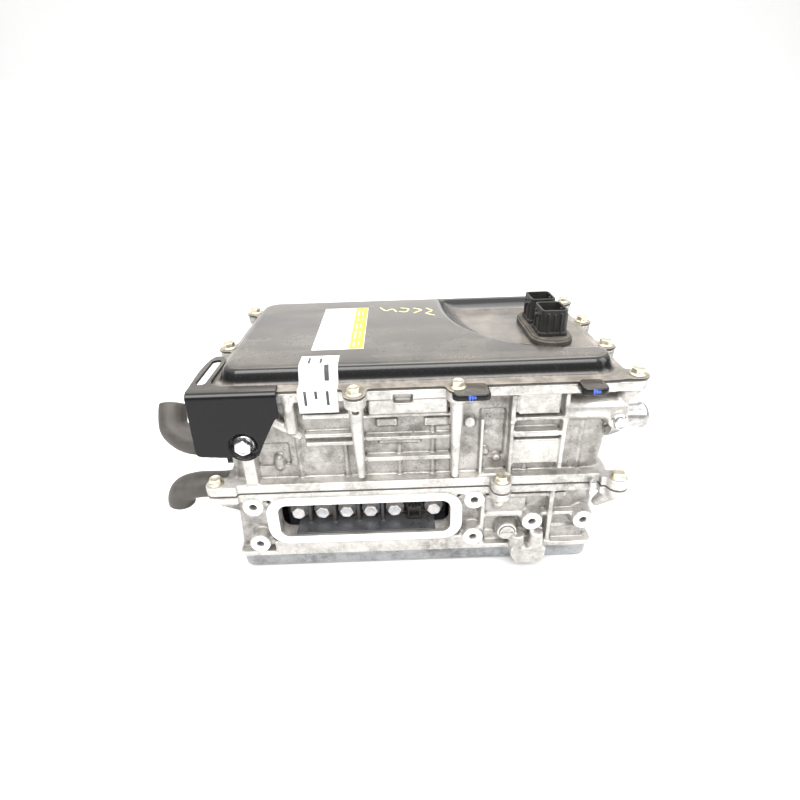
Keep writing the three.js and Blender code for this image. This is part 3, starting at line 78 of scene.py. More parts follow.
class Nodes:
    """A small builder for one material's node tree."""

    def __init__(self, name: str) -> None:
        """Starts an empty node material.

        Args:
            name: The material's name.
        """
        self.material = bpy.data.materials.new(name)
        self.material.use_nodes = True
        self.tree = self.material.node_tree
        self.tree.nodes.clear()
        self.shader = self.add("ShaderNodeBsdfPrincipled")
        self.output = self.add("ShaderNodeOutputMaterial")
        self.link(self.shader.outputs[0], self.output.inputs[0])
        self.place = self.add("ShaderNodeTexCoord").outputs["Object"]

    def add(self, kind: str, **values: object) -> bpy.types.Node:
        """Adds a node.

        Args:
            kind: Blender's name of the node type.
            **values: Properties to set on the node.

        Returns:
            The new node.
        """
        node = self.tree.nodes.new(kind)
        for key, value in values.items():
            setattr(node, key, value)
        return node

    def link(self, source: bpy.types.NodeSocket, target: bpy.types.NodeSocket) -> None:
        """Links two sockets."""
        self.tree.links.new(source, target)

    def noise(self, scale: float, detail: float = 4.0, rough: float = 0.55,
              stretch: Point = (1.0, 1.0, 1.0)) -> bpy.types.NodeSocket:
        """Adds a noise pattern in the object's own coordinates.

        Args:
            scale: Features per metre.
            detail: Octaves.
            rough: How strong the fine octaves are.
            stretch: Scale along each axis.

        Returns:
            The pattern's value socket.
        """
        mapping = self.add("ShaderNodeMapping")
        mapping.inputs["Scale"].default_value = stretch
        self.link(self.place, mapping.inputs["Vector"])
        node = self.add("ShaderNodeTexNoise")
        node.inputs["Scale"].default_value = scale
        node.inputs["Detail"].default_value = detail
        node.inputs["Roughness"].default_value = rough
        self.link(mapping.outputs[0], node.inputs["Vector"])
        return node.outputs["Fac"]

    def ramp(self, value: bpy.types.NodeSocket, low: float, high: float,
             out_low: float = 0.0, out_high: float = 1.0) -> bpy.types.NodeSocket:
        """Maps a value from one range to another, clamped.

        Args:
            value: The socket to map.
            low: Input that gives out_low.
            high: Input that gives out_high.
            out_low: Output at the low end.
            out_high: Output at the high end.

        Returns:
            The mapped socket.
        """
        node = self.add("ShaderNodeMapRange", interpolation_type="SMOOTHSTEP")
        node.inputs["From Min"].default_value = low
        node.inputs["From Max"].default_value = high
        node.inputs["To Min"].default_value = out_low
        node.inputs["To Max"].default_value = out_high
        self.link(value, node.inputs["Value"])
        return node.outputs["Result"]

    def mix(self, factor: bpy.types.NodeSocket, first: object, second: object) -> bpy.types.NodeSocket:
        """Mixes two colours by a factor.

        Args:
            factor: The socket that chooses the second colour.
            first: A colour or a socket.
            second: A colour or a socket.

        Returns:
            The mixed colour's socket.
        """
        node = self.add("ShaderNodeMix", data_type="RGBA")
        self.link(factor, node.inputs["Factor"])
        for key, value in ((6, first), (7, second)):
            if isinstance(value, tuple):
                node.inputs[key].default_value = (*value, 1.0)
            else:
                self.link(value, node.inputs[key])
        return node.outputs[2]

    def maths(self, kind: str, first: object, second: object) -> bpy.types.NodeSocket:
        """Combines two values.

        Args:
            kind: The operation's name.
            first: A number or a socket.
            second: A number or a socket.

        Returns:
            The result's socket.
        """
        node = self.add("ShaderNodeMath", operation=kind, use_clamp=True)
        for key, value in ((0, first), (1, second)):
            if isinstance(value, (int, float)):
                node.inputs[key].default_value = value
            else:
                self.link(value, node.inputs[key])
        return node.outputs[0]

    def component(self, source: bpy.types.NodeSocket, axis: str) -> bpy.types.NodeSocket:
        """Gives one component of a vector.

        Args:
            source: The vector's socket.
            axis: X, Y or Z.

        Returns:
            The component's socket.
        """
        split = self.add("ShaderNodeSeparateXYZ")
        self.link(source, split.inputs[0])
        return split.outputs[axis]

    def facing_up(self) -> bpy.types.NodeSocket:
        """Gives how far the surface faces up, from -1 to 1."""
        return self.component(self.add("ShaderNodeNewGeometry").outputs["Normal"], "Z")

    def facing_front(self) -> bpy.types.NodeSocket:
        """Gives how far the surface faces the front, 0 to 1."""
        normal = self.add("ShaderNodeNewGeometry").outputs["Normal"]
        return self.ramp(self.component(normal, "Y"), -0.9, -0.1, 1.0, 0.0)

    def depth(self) -> bpy.types.NodeSocket:
        """Gives the place in depth, in metres, with the front lowest."""
        return self.component(self.place, "Y")

    def pointiness(self, low: float, high: float) -> bpy.types.NodeSocket:
        """Gives how sharp the surface is, mapped from crevice to edge."""
        return self.ramp(self.add("ShaderNodeNewGeometry").outputs["Pointiness"], low, high)

    def height(self) -> bpy.types.NodeSocket:
        """Gives the height above the floor, in metres."""
        return self.component(self.place, "Z")

    def bump(self, value: bpy.types.NodeSocket, strength: float, distance: float) -> None:
        """Raises the surface by a pattern.

        Args:
            value: The pattern.
            strength: From 0 to 1.
            distance: Height of the relief in millimetres.
        """
        node = self.add("ShaderNodeBump")
        node.inputs["Strength"].default_value = strength
        node.inputs["Distance"].default_value = distance * MM
        self.link(value, node.inputs["Height"])
        if self.shader.inputs["Normal"].links:
            self.link(self.shader.inputs["Normal"].links[0].from_socket, node.inputs["Normal"])
        self.link(node.outputs[0], self.shader.inputs["Normal"])

    def set(self, **values: object) -> None:
        """Sets sockets of the shader: numbers and colours directly, sockets by a link.

        Args:
            **values: Values by socket name, with _ for each space.
        """
        for key, value in values.items():
            socket = self.shader.inputs[key.replace("_", " ")]
            if isinstance(value, bpy.types.NodeSocket):
                self.link(value, socket)
            elif isinstance(value, tuple):
                socket.default_value = (*value, 1.0)
            else:
                socket.default_value = value


@dataclass(frozen=True)
class CastFinish:
    """As-cast aluminium: sand grain, stains, painted shade in the corners, on set-back front walls and on
    faces turned down, and bright edges.
    """

    name: str = "cast_aluminium_finish"
    light: Point = (0.65, 0.63, 0.60)
    dull: Point = (0.33, 0.317, 0.30)
    # Colour of the stains and of the painted shade in corners, recesses and undersides.
    dirt_and_shade: Point = (0.060, 0.050, 0.043)
    metal: float = 0.72
    dirt_and_shade_amount: float = 0.8
    plane: float = -0.1035
    wall: float = -0.0955
    # Strength of the painted shade on set-back front walls; zero also turns off the painted shade on downward
    # faces.
    set_back_shade: float = 0.5
    stain: float = 0.3

    def build(self) -> bpy.types.Material:
        """Builds the material and returns it.

        Returns:
            The material.
        """
        n = Nodes(self.name)
        cloud = n.ramp(n.noise(26, 5, 0.6), 0.36, 0.66)
        mottle = n.ramp(n.noise(160, 4, 0.65), 0.3, 0.72)
        base = n.mix(n.maths("MULTIPLY", cloud, mottle), self.light, self.dull)
        # Painted shade: darker where the surface folds into a crevice, where shade falls.
        corner = n.ramp(n.pointiness(0.40, 0.5), 0.0, 1.0, 1.0, 0.0)
        patch = n.ramp(n.noise(55, 6, 0.7), 0.42, 0.7)
        dirt_and_shade_mask = n.maths("MULTIPLY", n.maths("ADD", corner, n.maths("MULTIPLY", patch, self.stain)),
                        self.dirt_and_shade_amount)
        # Painted shade on front faces set back behind the front plane, broken up by noise.
        if self.set_back_shade:
            grime = n.ramp(n.noise(38, 6, 0.7), 0.30, 0.62, 0.25, 1.0)
            behind = n.maths("MULTIPLY", n.ramp(n.depth(), self.plane, self.wall), n.facing_front())
            dirt_and_shade_mask = n.maths("ADD", dirt_and_shade_mask, n.maths("MULTIPLY", n.maths("MULTIPLY", behind, grime),
                                                  self.set_back_shade))
            # Painted shade on faces that turn down.
            under = n.ramp(n.facing_up(), -0.9, -0.2, 0.5, 0.0)
            dirt_and_shade_mask = n.maths("ADD", dirt_and_shade_mask, under)
        pepper = n.ramp(n.noise(620, 3, 0.6), 0.55, 0.70, 0.0, 0.42)
        dirt_and_shade_mask = n.maths("ADD", dirt_and_shade_mask, n.maths("MULTIPLY", pepper, n.ramp(n.noise(70, 3), 0.35, 0.6)))
        # Mixes in the stains and the painted shade.
        stained_and_shaded = n.mix(dirt_and_shade_mask, base, self.dirt_and_shade)
        edge = n.maths("MULTIPLY", n.pointiness(0.515, 0.57), 0.75)
        n.set(Base_Color=n.mix(edge, stained_and_shaded, (0.93, 0.91, 0.88)), Metallic=self.metal)
        n.set(Roughness=n.ramp(n.noise(90, 4), 0.3, 0.7, 0.30, 0.52))
        n.bump(n.noise(900, 3, 0.6), 0.6, 0.26)
        n.bump(n.noise(190, 4, 0.6), 0.35, 0.55)
        return n.material


@dataclass(frozen=True)
class MachinedFinish:
    """Milled aluminium: near white, fine tool marks."""

    name: str = "machined_aluminium_finish"
    colour: Point = (0.93, 0.92, 0.90)

    def build(self) -> bpy.types.Material:
        """Builds the material and returns it.

        Returns:
            The material.
        """
        n = Nodes(self.name)
        marks = n.noise(220, 3, 0.5, (0.08, 1.0, 4.0))
        smear = n.ramp(n.noise(45, 5, 0.6), 0.45, 0.75)
        n.set(Base_Color=n.mix(n.maths("MULTIPLY", smear, 0.4), self.colour, (0.66, 0.63, 0.58)))
        n.set(Metallic=0.5, Roughness=n.ramp(marks, 0.3, 0.7, 0.3, 0.45))
        n.bump(marks, 0.12, 0.06)
        return n.material


@dataclass(frozen=True)
class PaintFinish:
    """Semi-gloss black paint under a film of tan dust."""

    name: str = "black_paint_finish"
    dust: Point = (0.55, 0.485, 0.41)
    top_dust: float = 0.30
    gloss: float = 0.5
    low_dust: float = 0.0
    pool_below: float = 0.0
    rough: float = 0.17
    speckle: float = 0.04

    def build(self) -> bpy.types.Material:
        """Builds the material and returns it.

        Returns:
            The material.
        """
        n = Nodes(self.name)
        up = n.ramp(n.facing_up(), 0.80, 0.995)
        film = n.ramp(n.noise(14, 6, 0.62), 0.25, 0.8, 0.45, 1.0)
        wiped = n.ramp(n.noise(9, 3, 0.5, (1.0, 3.2, 1.0)), 0.3, 0.7, 0.55, 1.0)
        specks = n.ramp(n.noise(620, 2, 0.5), 0.56, 0.68, 0.0, 0.5)
        amount = n.maths("MULTIPLY", n.maths("MULTIPLY", up, film),
                         n.maths("MULTIPLY", wiped, self.top_dust))
        if self.pool_below:
            low = n.ramp(n.height(), self.pool_below - 0.006, self.pool_below, 1.0, 0.0)
            crust = n.ramp(n.noise(48, 7, 0.7), 0.4, 0.66, 0.35, 1.0)
            settled = n.ramp(n.facing_up(), 0.3, 0.95, 0.25, 1.0)
            pooled = n.maths("MULTIPLY", n.maths("MULTIPLY", low, settled), crust)
            amount = n.maths("ADD", amount, n.maths("MULTIPLY", pooled, 0.55))
        amount = n.maths("ADD", amount, n.maths("MULTIPLY", specks, self.speckle))
        amount = n.maths("ADD", amount, self.low_dust)
        n.set(Base_Color=n.mix(amount, (0.0105, 0.010, 0.0105), self.dust))
        n.set(Roughness=n.ramp(amount, 0.0, 0.6, self.rough, 0.5))
        lifted = n.facing_up()
        n.set(Coat_Weight=n.ramp(lifted, 0.25, 0.7, 0.06, self.gloss),
              Specular_IOR_Level=n.ramp(lifted, 0.25, 0.7, 0.16, 0.5))
        n.shader.inputs["Coat Roughness"].default_value = 0.06
        n.bump(n.noise(170, 3, 0.5), 0.07, 0.12)
        return n.material


@dataclass(frozen=True)
class MetalFinish:
    """Plated steel or copper with handling marks."""

    name: str
    bright: Point
    worn: Point
    rough: float = 0.28
    metal: float = 0.95

    def build(self) -> bpy.types.Material:
        """Builds the material and returns it.

        Returns:
            The material.
        """
        n = Nodes(self.name)
        blot = n.ramp(n.noise(260, 5, 0.65), 0.42, 0.68)
        crevice = n.ramp(n.pointiness(0.42, 0.5), 0.0, 1.0, 0.8, 0.0)
        n.set(Base_Color=n.mix(n.maths("ADD", n.maths("MULTIPLY", blot, 0.6), crevice),
                               self.bright, self.worn))
        n.set(Metallic=self.metal)
        n.set(Roughness=n.ramp(n.noise(500, 3), 0.3, 0.7, self.rough, self.rough + 0.16))
        n.bump(n.noise(1100, 2), 0.16, 0.05)
        return n.material


@dataclass(frozen=True)
class PlasticFinish:
    """Moulded plastic, rubber, resin or board: a spark-eroded grain, dust and worn edges."""

    name: str
    colour: Point
    dusty: Point
    rough: float = 0.45
    dust: float = 0.15
    grain: float = 700.0
    relief: float = 0.08

    def build(self) -> bpy.types.Material:
        """Builds the material and returns it.

        Returns:
            The material.
        """
        n = Nodes(self.name)
        film = n.ramp(n.noise(60, 6, 0.65), 0.35, 0.75, 0.2, 1.0)
        up = n.ramp(n.facing_up(), -0.2, 0.9, 0.35, 1.0)
        amount = n.maths("MULTIPLY", n.maths("MULTIPLY", film, up), self.dust * 2.2)
        edge = n.maths("MULTIPLY", n.pointiness(0.53, 0.62), 0.25)
        n.set(Base_Color=n.mix(n.maths("ADD", amount, edge), self.colour, self.dusty))
        n.set(Roughness=n.ramp(n.noise(120, 4), 0.3, 0.7, self.rough, self.rough + 0.18))
        n.bump(n.noise(self.grain, 3, 0.5), 0.4, self.relief)
        return n.material


@dataclass(frozen=True)
class PaperFinish:
    """Printed film or paper: fibre, creases and grime at the edge."""

    name: str
    colour: Point
    grime: Point = (0.55, 0.5, 0.43)
    amount: float = 0.25
    rough: float = 0.42

    def build(self) -> bpy.types.Material:
        """Builds the material and returns it.

        Returns:
            The material.
        """
        n = Nodes(self.name)
        smear = n.ramp(n.noise(70, 6, 0.7), 0.48, 0.72)
        n.set(Base_Color=n.mix(n.maths("MULTIPLY", smear, self.amount), self.colour, self.grime))
        n.set(Roughness=n.ramp(n.noise(300, 3), 0.3, 0.7, self.rough, self.rough + 0.15))
        n.bump(n.noise(420, 3), 0.12, 0.05)
        return n.material


@dataclass(frozen=True)
class FloorFinish:
    """Pale seamless studio sweep."""

    name: str = "studio_sweep_finish"

    def build(self) -> bpy.types.Material:
        """Builds the material and returns it.

        Returns:
            The material.
        """
        n = Nodes(self.name)
        n.set(Base_Color=n.mix(n.ramp(n.noise(3, 2), 0.3, 0.7), (0.93, 0.935, 0.94), (0.95, 0.95, 0.95)))
        n.set(Roughness=0.9)
        return n.material


class Palette:
    """Every finish, built once."""

    def __init__(self) -> None:
        """Builds the materials."""
        self.cast = CastFinish().build()
        # Fewer stains and less painted shade, with none on set-back walls or downward faces.
        self.cleaner_less_shaded_cast = CastFinish(name="inner_cast_finish", dirt_and_shade_amount=0.3, set_back_shade=0.0).build()
        # A darker, bluish copy of the cast finish: painted shade on the bottom pan under the housing.
        self.shaded_bottom_cast = CastFinish(name="bottom_cast_painted_shade_finish", light=(0.40, 0.41, 0.42),
                                     dull=(0.20, 0.205, 0.21), set_back_shade=0.0, stain=0.5).build()
        self.machined = MachinedFinish().build()
        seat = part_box("top_cover")[1][2]
        self.cover = PaintFinish(name="cover_paint_finish", pool_below=seat - 9 * MM).build()
        self.bracket = PaintFinish(name="bracket_paint_finish", top_dust=0.25, low_dust=0.0,
                                   rough=0.12, speckle=0.0, gloss=0.2).build()
        self.black_steel = PaintFinish(name="spring_steel_finish", top_dust=0.3, rough=0.3).build()
        self.zinc = MetalFinish("zinc_plate_finish", (0.80, 0.76, 0.62), (0.42, 0.36, 0.22)).build()
        self.silver = MetalFinish("bright_plate_finish", (0.83, 0.83, 0.84), (0.42, 0.41, 0.40), 0.18).build()
        self.contact = MetalFinish("contact_plate_finish", (0.90, 0.90, 0.91), (0.62, 0.61, 0.60),
                                   0.3, 0.45).build()
        self.copper = MetalFinish("bare_copper_finish", (0.80, 0.45, 0.24), (0.45, 0.23, 0.12), 0.25).build()
        self.pipe = MetalFinish("spigot_metal_finish", (0.52, 0.51, 0.50), (0.20, 0.19, 0.18), 0.3).build()
        self.pin = MetalFinish("tinned_pin_finish", (0.72, 0.66, 0.5), (0.45, 0.38, 0.25), 0.25).build()
        self.rubber = PlasticFinish("aged_rubber_finish", (0.050, 0.044, 0.039), (0.16, 0.143, 0.123),
                                    0.42, 0.30, 480, 0.10).build()
        self.seal = PlasticFinish("seal_rubber_finish", (0.11, 0.105, 0.10), (0.26, 0.24, 0.21)).build()
        self.plastic = PlasticFinish("black_plastic_finish", (0.012, 0.012, 0.013), (0.25, 0.22, 0.18),
                                     0.38, 0.07).build()
        self.dusty_plastic = PlasticFinish("dusty_plastic_finish", (0.022, 0.021, 0.020),
                                           (0.42, 0.36, 0.29), 0.45, 0.2).build()
        self.block = PlasticFinish("insulator_finish", (0.040, 0.043, 0.050), (0.24, 0.23, 0.22),
                                   0.25, 0.12).build()
        self.resin = PlasticFinish("resin_finish", (0.03, 0.033, 0.036), (0.14, 0.13, 0.12)).build()
        self.board = PlasticFinish("solder_resist_finish", (0.02, 0.12, 0.05), (0.1, 0.2, 0.12), 0.3).build()
        self.core = PlasticFinish("ferrite_finish", (0.05, 0.05, 0.055), (0.16, 0.15, 0.14), 0.5).build()
        self.paper = PaperFinish("label_film_finish", (0.93, 0.94, 0.93), amount=0.12).build()
        self.print = PaperFinish("print_ink_finish", (0.55, 0.54, 0.52), amount=0.3).build()
        self.dark_print = PaperFinish("sticker_ink_finish", (0.05, 0.05, 0.06), amount=0.2).build()
        self.yellow = PaperFinish("yellow_band_finish", (0.86, 0.70, 0.07), amount=0.2).build()
        self.marker = PaperFinish("yellow_marker_finish", (0.87, 0.78, 0.42), amount=0.2).build()
        self.blue = PaperFinish("blue_paint_finish", (0.05, 0.12, 0.62), amount=0.1).build()
        self.floor = FloorFinish().build()


# ---- mesh tools ---------------------------------------------------------------------------


def publish(obj: bpy.types.Object, replaced: tuple[str, ...] = ()) -> bpy.types.Object:
    """Rides a piece on the one body and says what it stands for.

    Args:
        obj: The piece.
        replaced: CAD nodes that the piece stands for.

    Returns:
        The same piece.
    """
    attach(obj, "root")
    if replaced:
        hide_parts(*replaced)
    LOG.info("%s: %d faces", obj.name, len(obj.data.polygons))
    return obj


def placed(name: str, data: bpy.types.ID) -> bpy.types.Object:
    """Makes an object of some data and puts it in the scene.

    Args:
        name: The object's name.
        data: Its mesh, curve, lamp or camera.

    Returns:
        The new object.
    """
    obj = bpy.data.objects.new(name, data)
    bpy.context.scene.collection.objects.link(obj)
    return obj


def evaluated(obj: bpy.types.Object) -> bpy.types.Mesh:
    """Gives an object's mesh with its modifiers applied."""
    return bpy.data.meshes.new_from_object(obj.evaluated_get(bpy.context.evaluated_depsgraph_get()))


def object_from(name: str, points: Ring, faces: list[tuple[int, ...]],
                material: bpy.types.Material, smooth: bool = True) -> bpy.types.Object:
    """Makes an object from points in millimetres.

    Args:
        name: The object's name.
        points: Corner points.
        faces: Corner numbers of each face.
        material: The finish.
        smooth: Whether its faces are shaded smooth.

    Returns:
        The new object.
    """
    mesh = bpy.data.meshes.new(name)
    mesh.from_pydata([(x * MM, y * MM, z * MM) for x, y, z in points], [], faces)
    mesh.validate()
    mesh.materials.append(material)
    mesh.polygons.foreach_set("use_smooth", [smooth] * len(mesh.polygons))
    obj = placed(name, mesh)
    fix_normals(mesh)
    return obj


def fix_normals(mesh: bpy.types.Mesh) -> None:
    """Turns a closed mesh's faces outward.

    Args:
        mesh: The mesh.
    """
    bm = bmesh.new()
    bm.from_mesh(mesh)
    bmesh.ops.recalc_face_normals(bm, faces=bm.faces)
    bm.to_mesh(mesh)
    bm.free()


def skin_faces(rings: int, count: int, capped: bool = True) -> list[tuple[int, ...]]:
    """Gives the faces of a skin through closed rings.

    Args:
        rings: Number of rings.
        count: Points in each ring.
        capped: Whether the first and last ring are closed with a face.

    Returns:
        The faces.
    """
    faces: list[tuple[int, ...]] = []
    for level in range(rings - 1):
        for i in range(count):
            j = (i + 1) % count
            a, b = level * count + i, level * count + j
            faces.append((a, b, b + count, a + count))
    if capped:
        faces.append(tuple(range(count))[::-1])
        faces.append(tuple(range((rings - 1) * count, rings * count)))
    return faces


def loft(name: str, rings: list[Ring], material: bpy.types.Material, closed_loop: bool = False,
         smooth: bool = True) -> bpy.types.Object:
    """Makes a closed skin through rings.

    Args:
        name: The object's name.
        rings: Rings of equal point count.
        material: The finish.
        closed_loop: Whether the last ring joins the first, as on a washer.
        smooth: Whether its faces are shaded smooth.

    Returns:
        The new object.
    """
    loops = rings + [rings[0]] if closed_loop else rings
    count = len(rings[0])
    faces = skin_faces(len(loops), count, capped=not closed_loop)
    if closed_loop:
        total = len(rings) * count
        faces = [tuple(i % total for i in face) for face in faces]
    points = [point for ring in rings for point in ring]
    return object_from(name, points, faces, material, smooth)


def rounded_ring(x0: float, x1: float, y0: float, y1: float, r: float, z: float,
                 per_corner: int = 8) -> Ring:
    """Gives the points of a rounded rectangle at one height.

    Args:
        x0: Left side.
        x1: Right side.
        y0: Front side.
        y1: Back side.
        r: Corner radius.
        z: Height.
        per_corner: Points in each corner.

    Returns:
        The ring, anticlockwise.
    """
    ring: Ring = []
    corners = ((x1 - r, y1 - r), (x0 + r, y1 - r), (x0 + r, y0 + r), (x1 - r, y0 + r))
    for quarter, (cx, cy) in enumerate(corners):
        for i in range(per_corner):
            angle = (quarter + i / (per_corner - 1)) * math.pi / 2
            ring.append((cx + r * math.cos(angle), cy + r * math.sin(angle), z))
    return ring


def lathe(name: str, profile: list[tuple[float, float]], material: bpy.types.Material,
          segments: int = 32, smooth: bool = True) -> bpy.types.Object:
    """Makes a turned solid about Z.

    Args:
        name: The object's name.
        profile: Radius and height pairs, from the first cap to the last.
        material: The finish.
        segments: Points round the axis.
        smooth: Whether its faces are shaded smooth.

    Returns:
        The new object.
    """
    rings = []
    for r, z in profile:
        angles = (math.tau * i / segments for i in range(segments))
        rings.append([(r * math.cos(a), r * math.sin(a), z) for a in angles])
    return loft(name, rings, material, smooth=smooth)


def block(x0: float, x1: float, y0: float, y1: float, z0: float, z1: float) -> bpy.types.Object:
    """Makes a raw box between two corners, to be skinned later."""
    rings = [[(x0, y0, z), (x1, y0, z), (x1, y1, z), (x0, y1, z)] for z in (z0, z1)]
    return loft("raw", rings, None)


def stub(base: Point, axis: Point, length: float, r0: float, r1: float | None = None,
         segments: int = 28) -> bpy.types.Object:
    """Makes a raw cylinder or cone along an axis, to be skinned later.

    Args:
        base: Middle of the first end.
        axis: Direction.
        length: Length.
        r0: Radius at the base.
        r1: Radius at the far end, or None for the same.
        segments: Points round the axis.

    Returns:
        The new object.
    """
    obj = lathe("raw", [(r0, 0.0), (r0 if r1 is None else r1, length)], None, segments)
    turn = Vector((0, 0, 1)).rotation_difference(Vector(axis)).to_matrix().to_4x4()
    obj.data.transform(Matrix.Translation(Vector(base) * MM) @ turn)
    return obj


def drop(objects: list[bpy.types.Object]) -> None:
    """Deletes scratch objects and their meshes.

    Args:
        objects: What to delete.
    """
    for obj in objects:
        mesh = obj.data
        bpy.data.objects.remove(obj)
        bpy.data.meshes.remove(mesh)


def joined(name: str, objects: list[bpy.types.Object], material: bpy.types.Material) -> bpy.types.Object:
    """Joins objects into one mesh and deletes them.

    Args:
        name: The new object's name.
        objects: What to join.
        material: The finish of the whole.

    Returns:
        The new object.
    """
    bm = bmesh.new()
    for obj in objects:
        part = obj.data.copy()
        part.transform(obj.matrix_world)
        bm.from_mesh(part)
        bpy.data.meshes.remove(part)
    mesh = bpy.data.meshes.new(name)
    bm.to_mesh(mesh)
    bm.free()
    mesh.materials.clear()
    mesh.materials.append(material)
    drop(objects)
    result = placed(name, mesh)
    return result


def node_copy(node: str) -> bpy.types.Object:
    """Copies a CAD node's mesh into a scratch object, with its corners welded.

    Args:
        node: The CAD node.

    Returns:
        The scratch object.
    """
    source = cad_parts[node]
    mesh = source.data.copy()
    bm = bmesh.new()
    bm.from_mesh(mesh)
    bmesh.ops.remove_doubles(bm, verts=bm.verts, dist=1e-6)
    bm.to_mesh(mesh)
    bm.free()
    copy = placed("raw", mesh)
    return copy


@dataclass
class Skin:
    """Melts overlapping solids into one piece with rounded edges and fillets."""

    voxel: float
    smoothing: int = 4
    keep: float = 0.5

    def apply(self, name: str, solids: list[bpy.types.Object],
              material: bpy.types.Material) -> bpy.types.Object:
        """Makes the rounded piece.

        Args:
            name: The object's name.
            solids: Closed solids, deleted afterwards.
            material: The finish.

        Returns:
            The rounded object.
        """
        rough = joined("raw_" + name, solids, material)
        remesh = rough.modifiers.new("melt", "REMESH")
        remesh.mode = "VOXEL"
        remesh.voxel_size = self.voxel * MM
        if self.smoothing:
            soften = rough.modifiers.new("soften", "SMOOTH")
            soften.factor = 0.5
            soften.iterations = self.smoothing
        if self.keep < 1:
            thin = rough.modifiers.new("thin", "DECIMATE")
            thin.ratio = self.keep
        mesh = evaluated(rough)
        mesh.name = name
        mesh.materials.clear()
        mesh.materials.append(material)
        mesh.polygons.foreach_set("use_smooth", [True] * len(mesh.polygons))
        drop([rough])
        obj = placed(name, mesh)
        return obj


def span(node: str) -> tuple[Vector, Vector]:
    """Gives a node's lowest and highest corners in millimetres."""
    low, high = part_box(node)
    return Vector(low) / MM, Vector(high) / MM


def middle(node: str) -> Vector:
    """Gives the middle of a node's box in millimetres."""
    low, high = span(node)
    return (low + high) / 2


def mix_smooth(a: float, b: float, width: float) -> float:
    """Gives the lower of two values, with a rounded corner where they meet."""
    h = max(width - abs(a - b), 0.0) / width
    return min(a, b) - h * h * width / 4


def along(table: list[tuple[float, float]], at: float) -> float:
    """Reads a table of pairs at a place, on straight lines between them.

    Args:
        table: Pairs of place and value, in order.
        at: The place to read.

    Returns:
        The value.
    """
    if at <= table[0][0]:
        return table[0][1]
    for (x0, y0), (x1, y1) in zip(table, table[1:]):
        if at <= x1:
            return y0 + (y1 - y0) * (at - x0) / (x1 - x0)
    return table[-1][1]


def softly(table: list[tuple[float, float]], at: float, window: float) -> float:
    """Reads a table of pairs at a place, averaged over a window."""
    steps = [at + window * (i / 8 - 0.5) for i in range(9)]
    return sum(along(table, step) for step in steps) / len(steps)


# ---- fasteners ----------------------------------------------------------------------------


@dataclass
class FlangeBolt:
    """A hex flange screw with a chamfered, dished head."""

    flats: float = 10.0
    flange: float = 7.0
    head: float = 6.0
    shank: float = 3.0
    length: float = 15.0
    washer: float = 0.0

    def ring(self, limit: float, z: float, hexed: bool) -> Ring:
        """Gives one ring of the head.

        Args:
            limit: Radius of the circle that trims the hexagon.
            z: Height above the seat.
            hexed: Whether the ring follows the hexagon.

        Returns:
            The ring's points.
        """
        ring: Ring = []
        for i in range(72):
            angle = math.tau * i / 72
            r = limit
            if hexed:
                turn = (angle % (math.pi / 3)) - math.pi / 6
                r = min(limit, self.flats / 2 / math.cos(turn))
            ring.append((r * math.cos(angle), r * math.sin(angle), z))
        return ring

    def build(self, name: str, finish: bpy.types.Material, seat: Vector, toward: Point,
              turn: float) -> bpy.types.Object:
        """Builds one screw on its seat.

        Args:
            name: The object's name.
            finish: The material.
            seat: Middle of the seat in millimetres.
            toward: Direction that the head stands in.
            turn: How far the head is turned, in radians.

        Returns:
            The screw.
        """
        corner = self.flats / math.sqrt(3)
        top = self.flats / 2 * 0.96
        rings = [self.ring(self.shank, -self.length, False), self.ring(self.shank, 0, False)]
        foot = 0.0
        if self.washer:
            foot = 1.1
            for less, z in ((0.2, 0.0), (0.0, 0.15), (0.0, 0.9), (0.2, foot)):
                rings.append(self.ring(self.washer - less, z, False))
        flange = [(0.96, 0.0), (1.0, 0.25), (1.0, 1.0), (0.965, 1.3), (0.9, 1.55)]
        rings += [self.ring(self.flange * k, foot + z * 0.8, False) for k, z in flange]
        rings.append(self.ring(max(corner + 0.25, self.flange * 0.8), foot + 1.7, False))
        rings.append(self.ring(corner + 0.1, foot + 2.0, True))
        for limit, below in ((corner, 1.1), (corner * 0.985, 0.75), (corner * 0.94, 0.35), (top, 0.08)):
            rings.append(self.ring(limit, self.head - below, True))
        for k, below in ((0.93, 0.0), (0.86, 0.02), (0.78, 0.28), (0.4, 0.5), (0.1, 0.52)):
            rings.append(self.ring(top * k, self.head - below, False))
        obj = loft(name, rings, finish, smooth=False)
        for face in obj.data.polygons:
            face.use_smooth = len(face.vertices) == 4 and abs(face.normal.z) > 0.05
        aim = Vector((0, 0, 1)).rotation_difference(Vector(toward)).to_matrix().to_4x4()
        spin = Matrix.Rotation(turn, 4, "Z")
        obj.data.transform(Matrix.Translation(seat * MM) @ aim @ spin)
        return obj


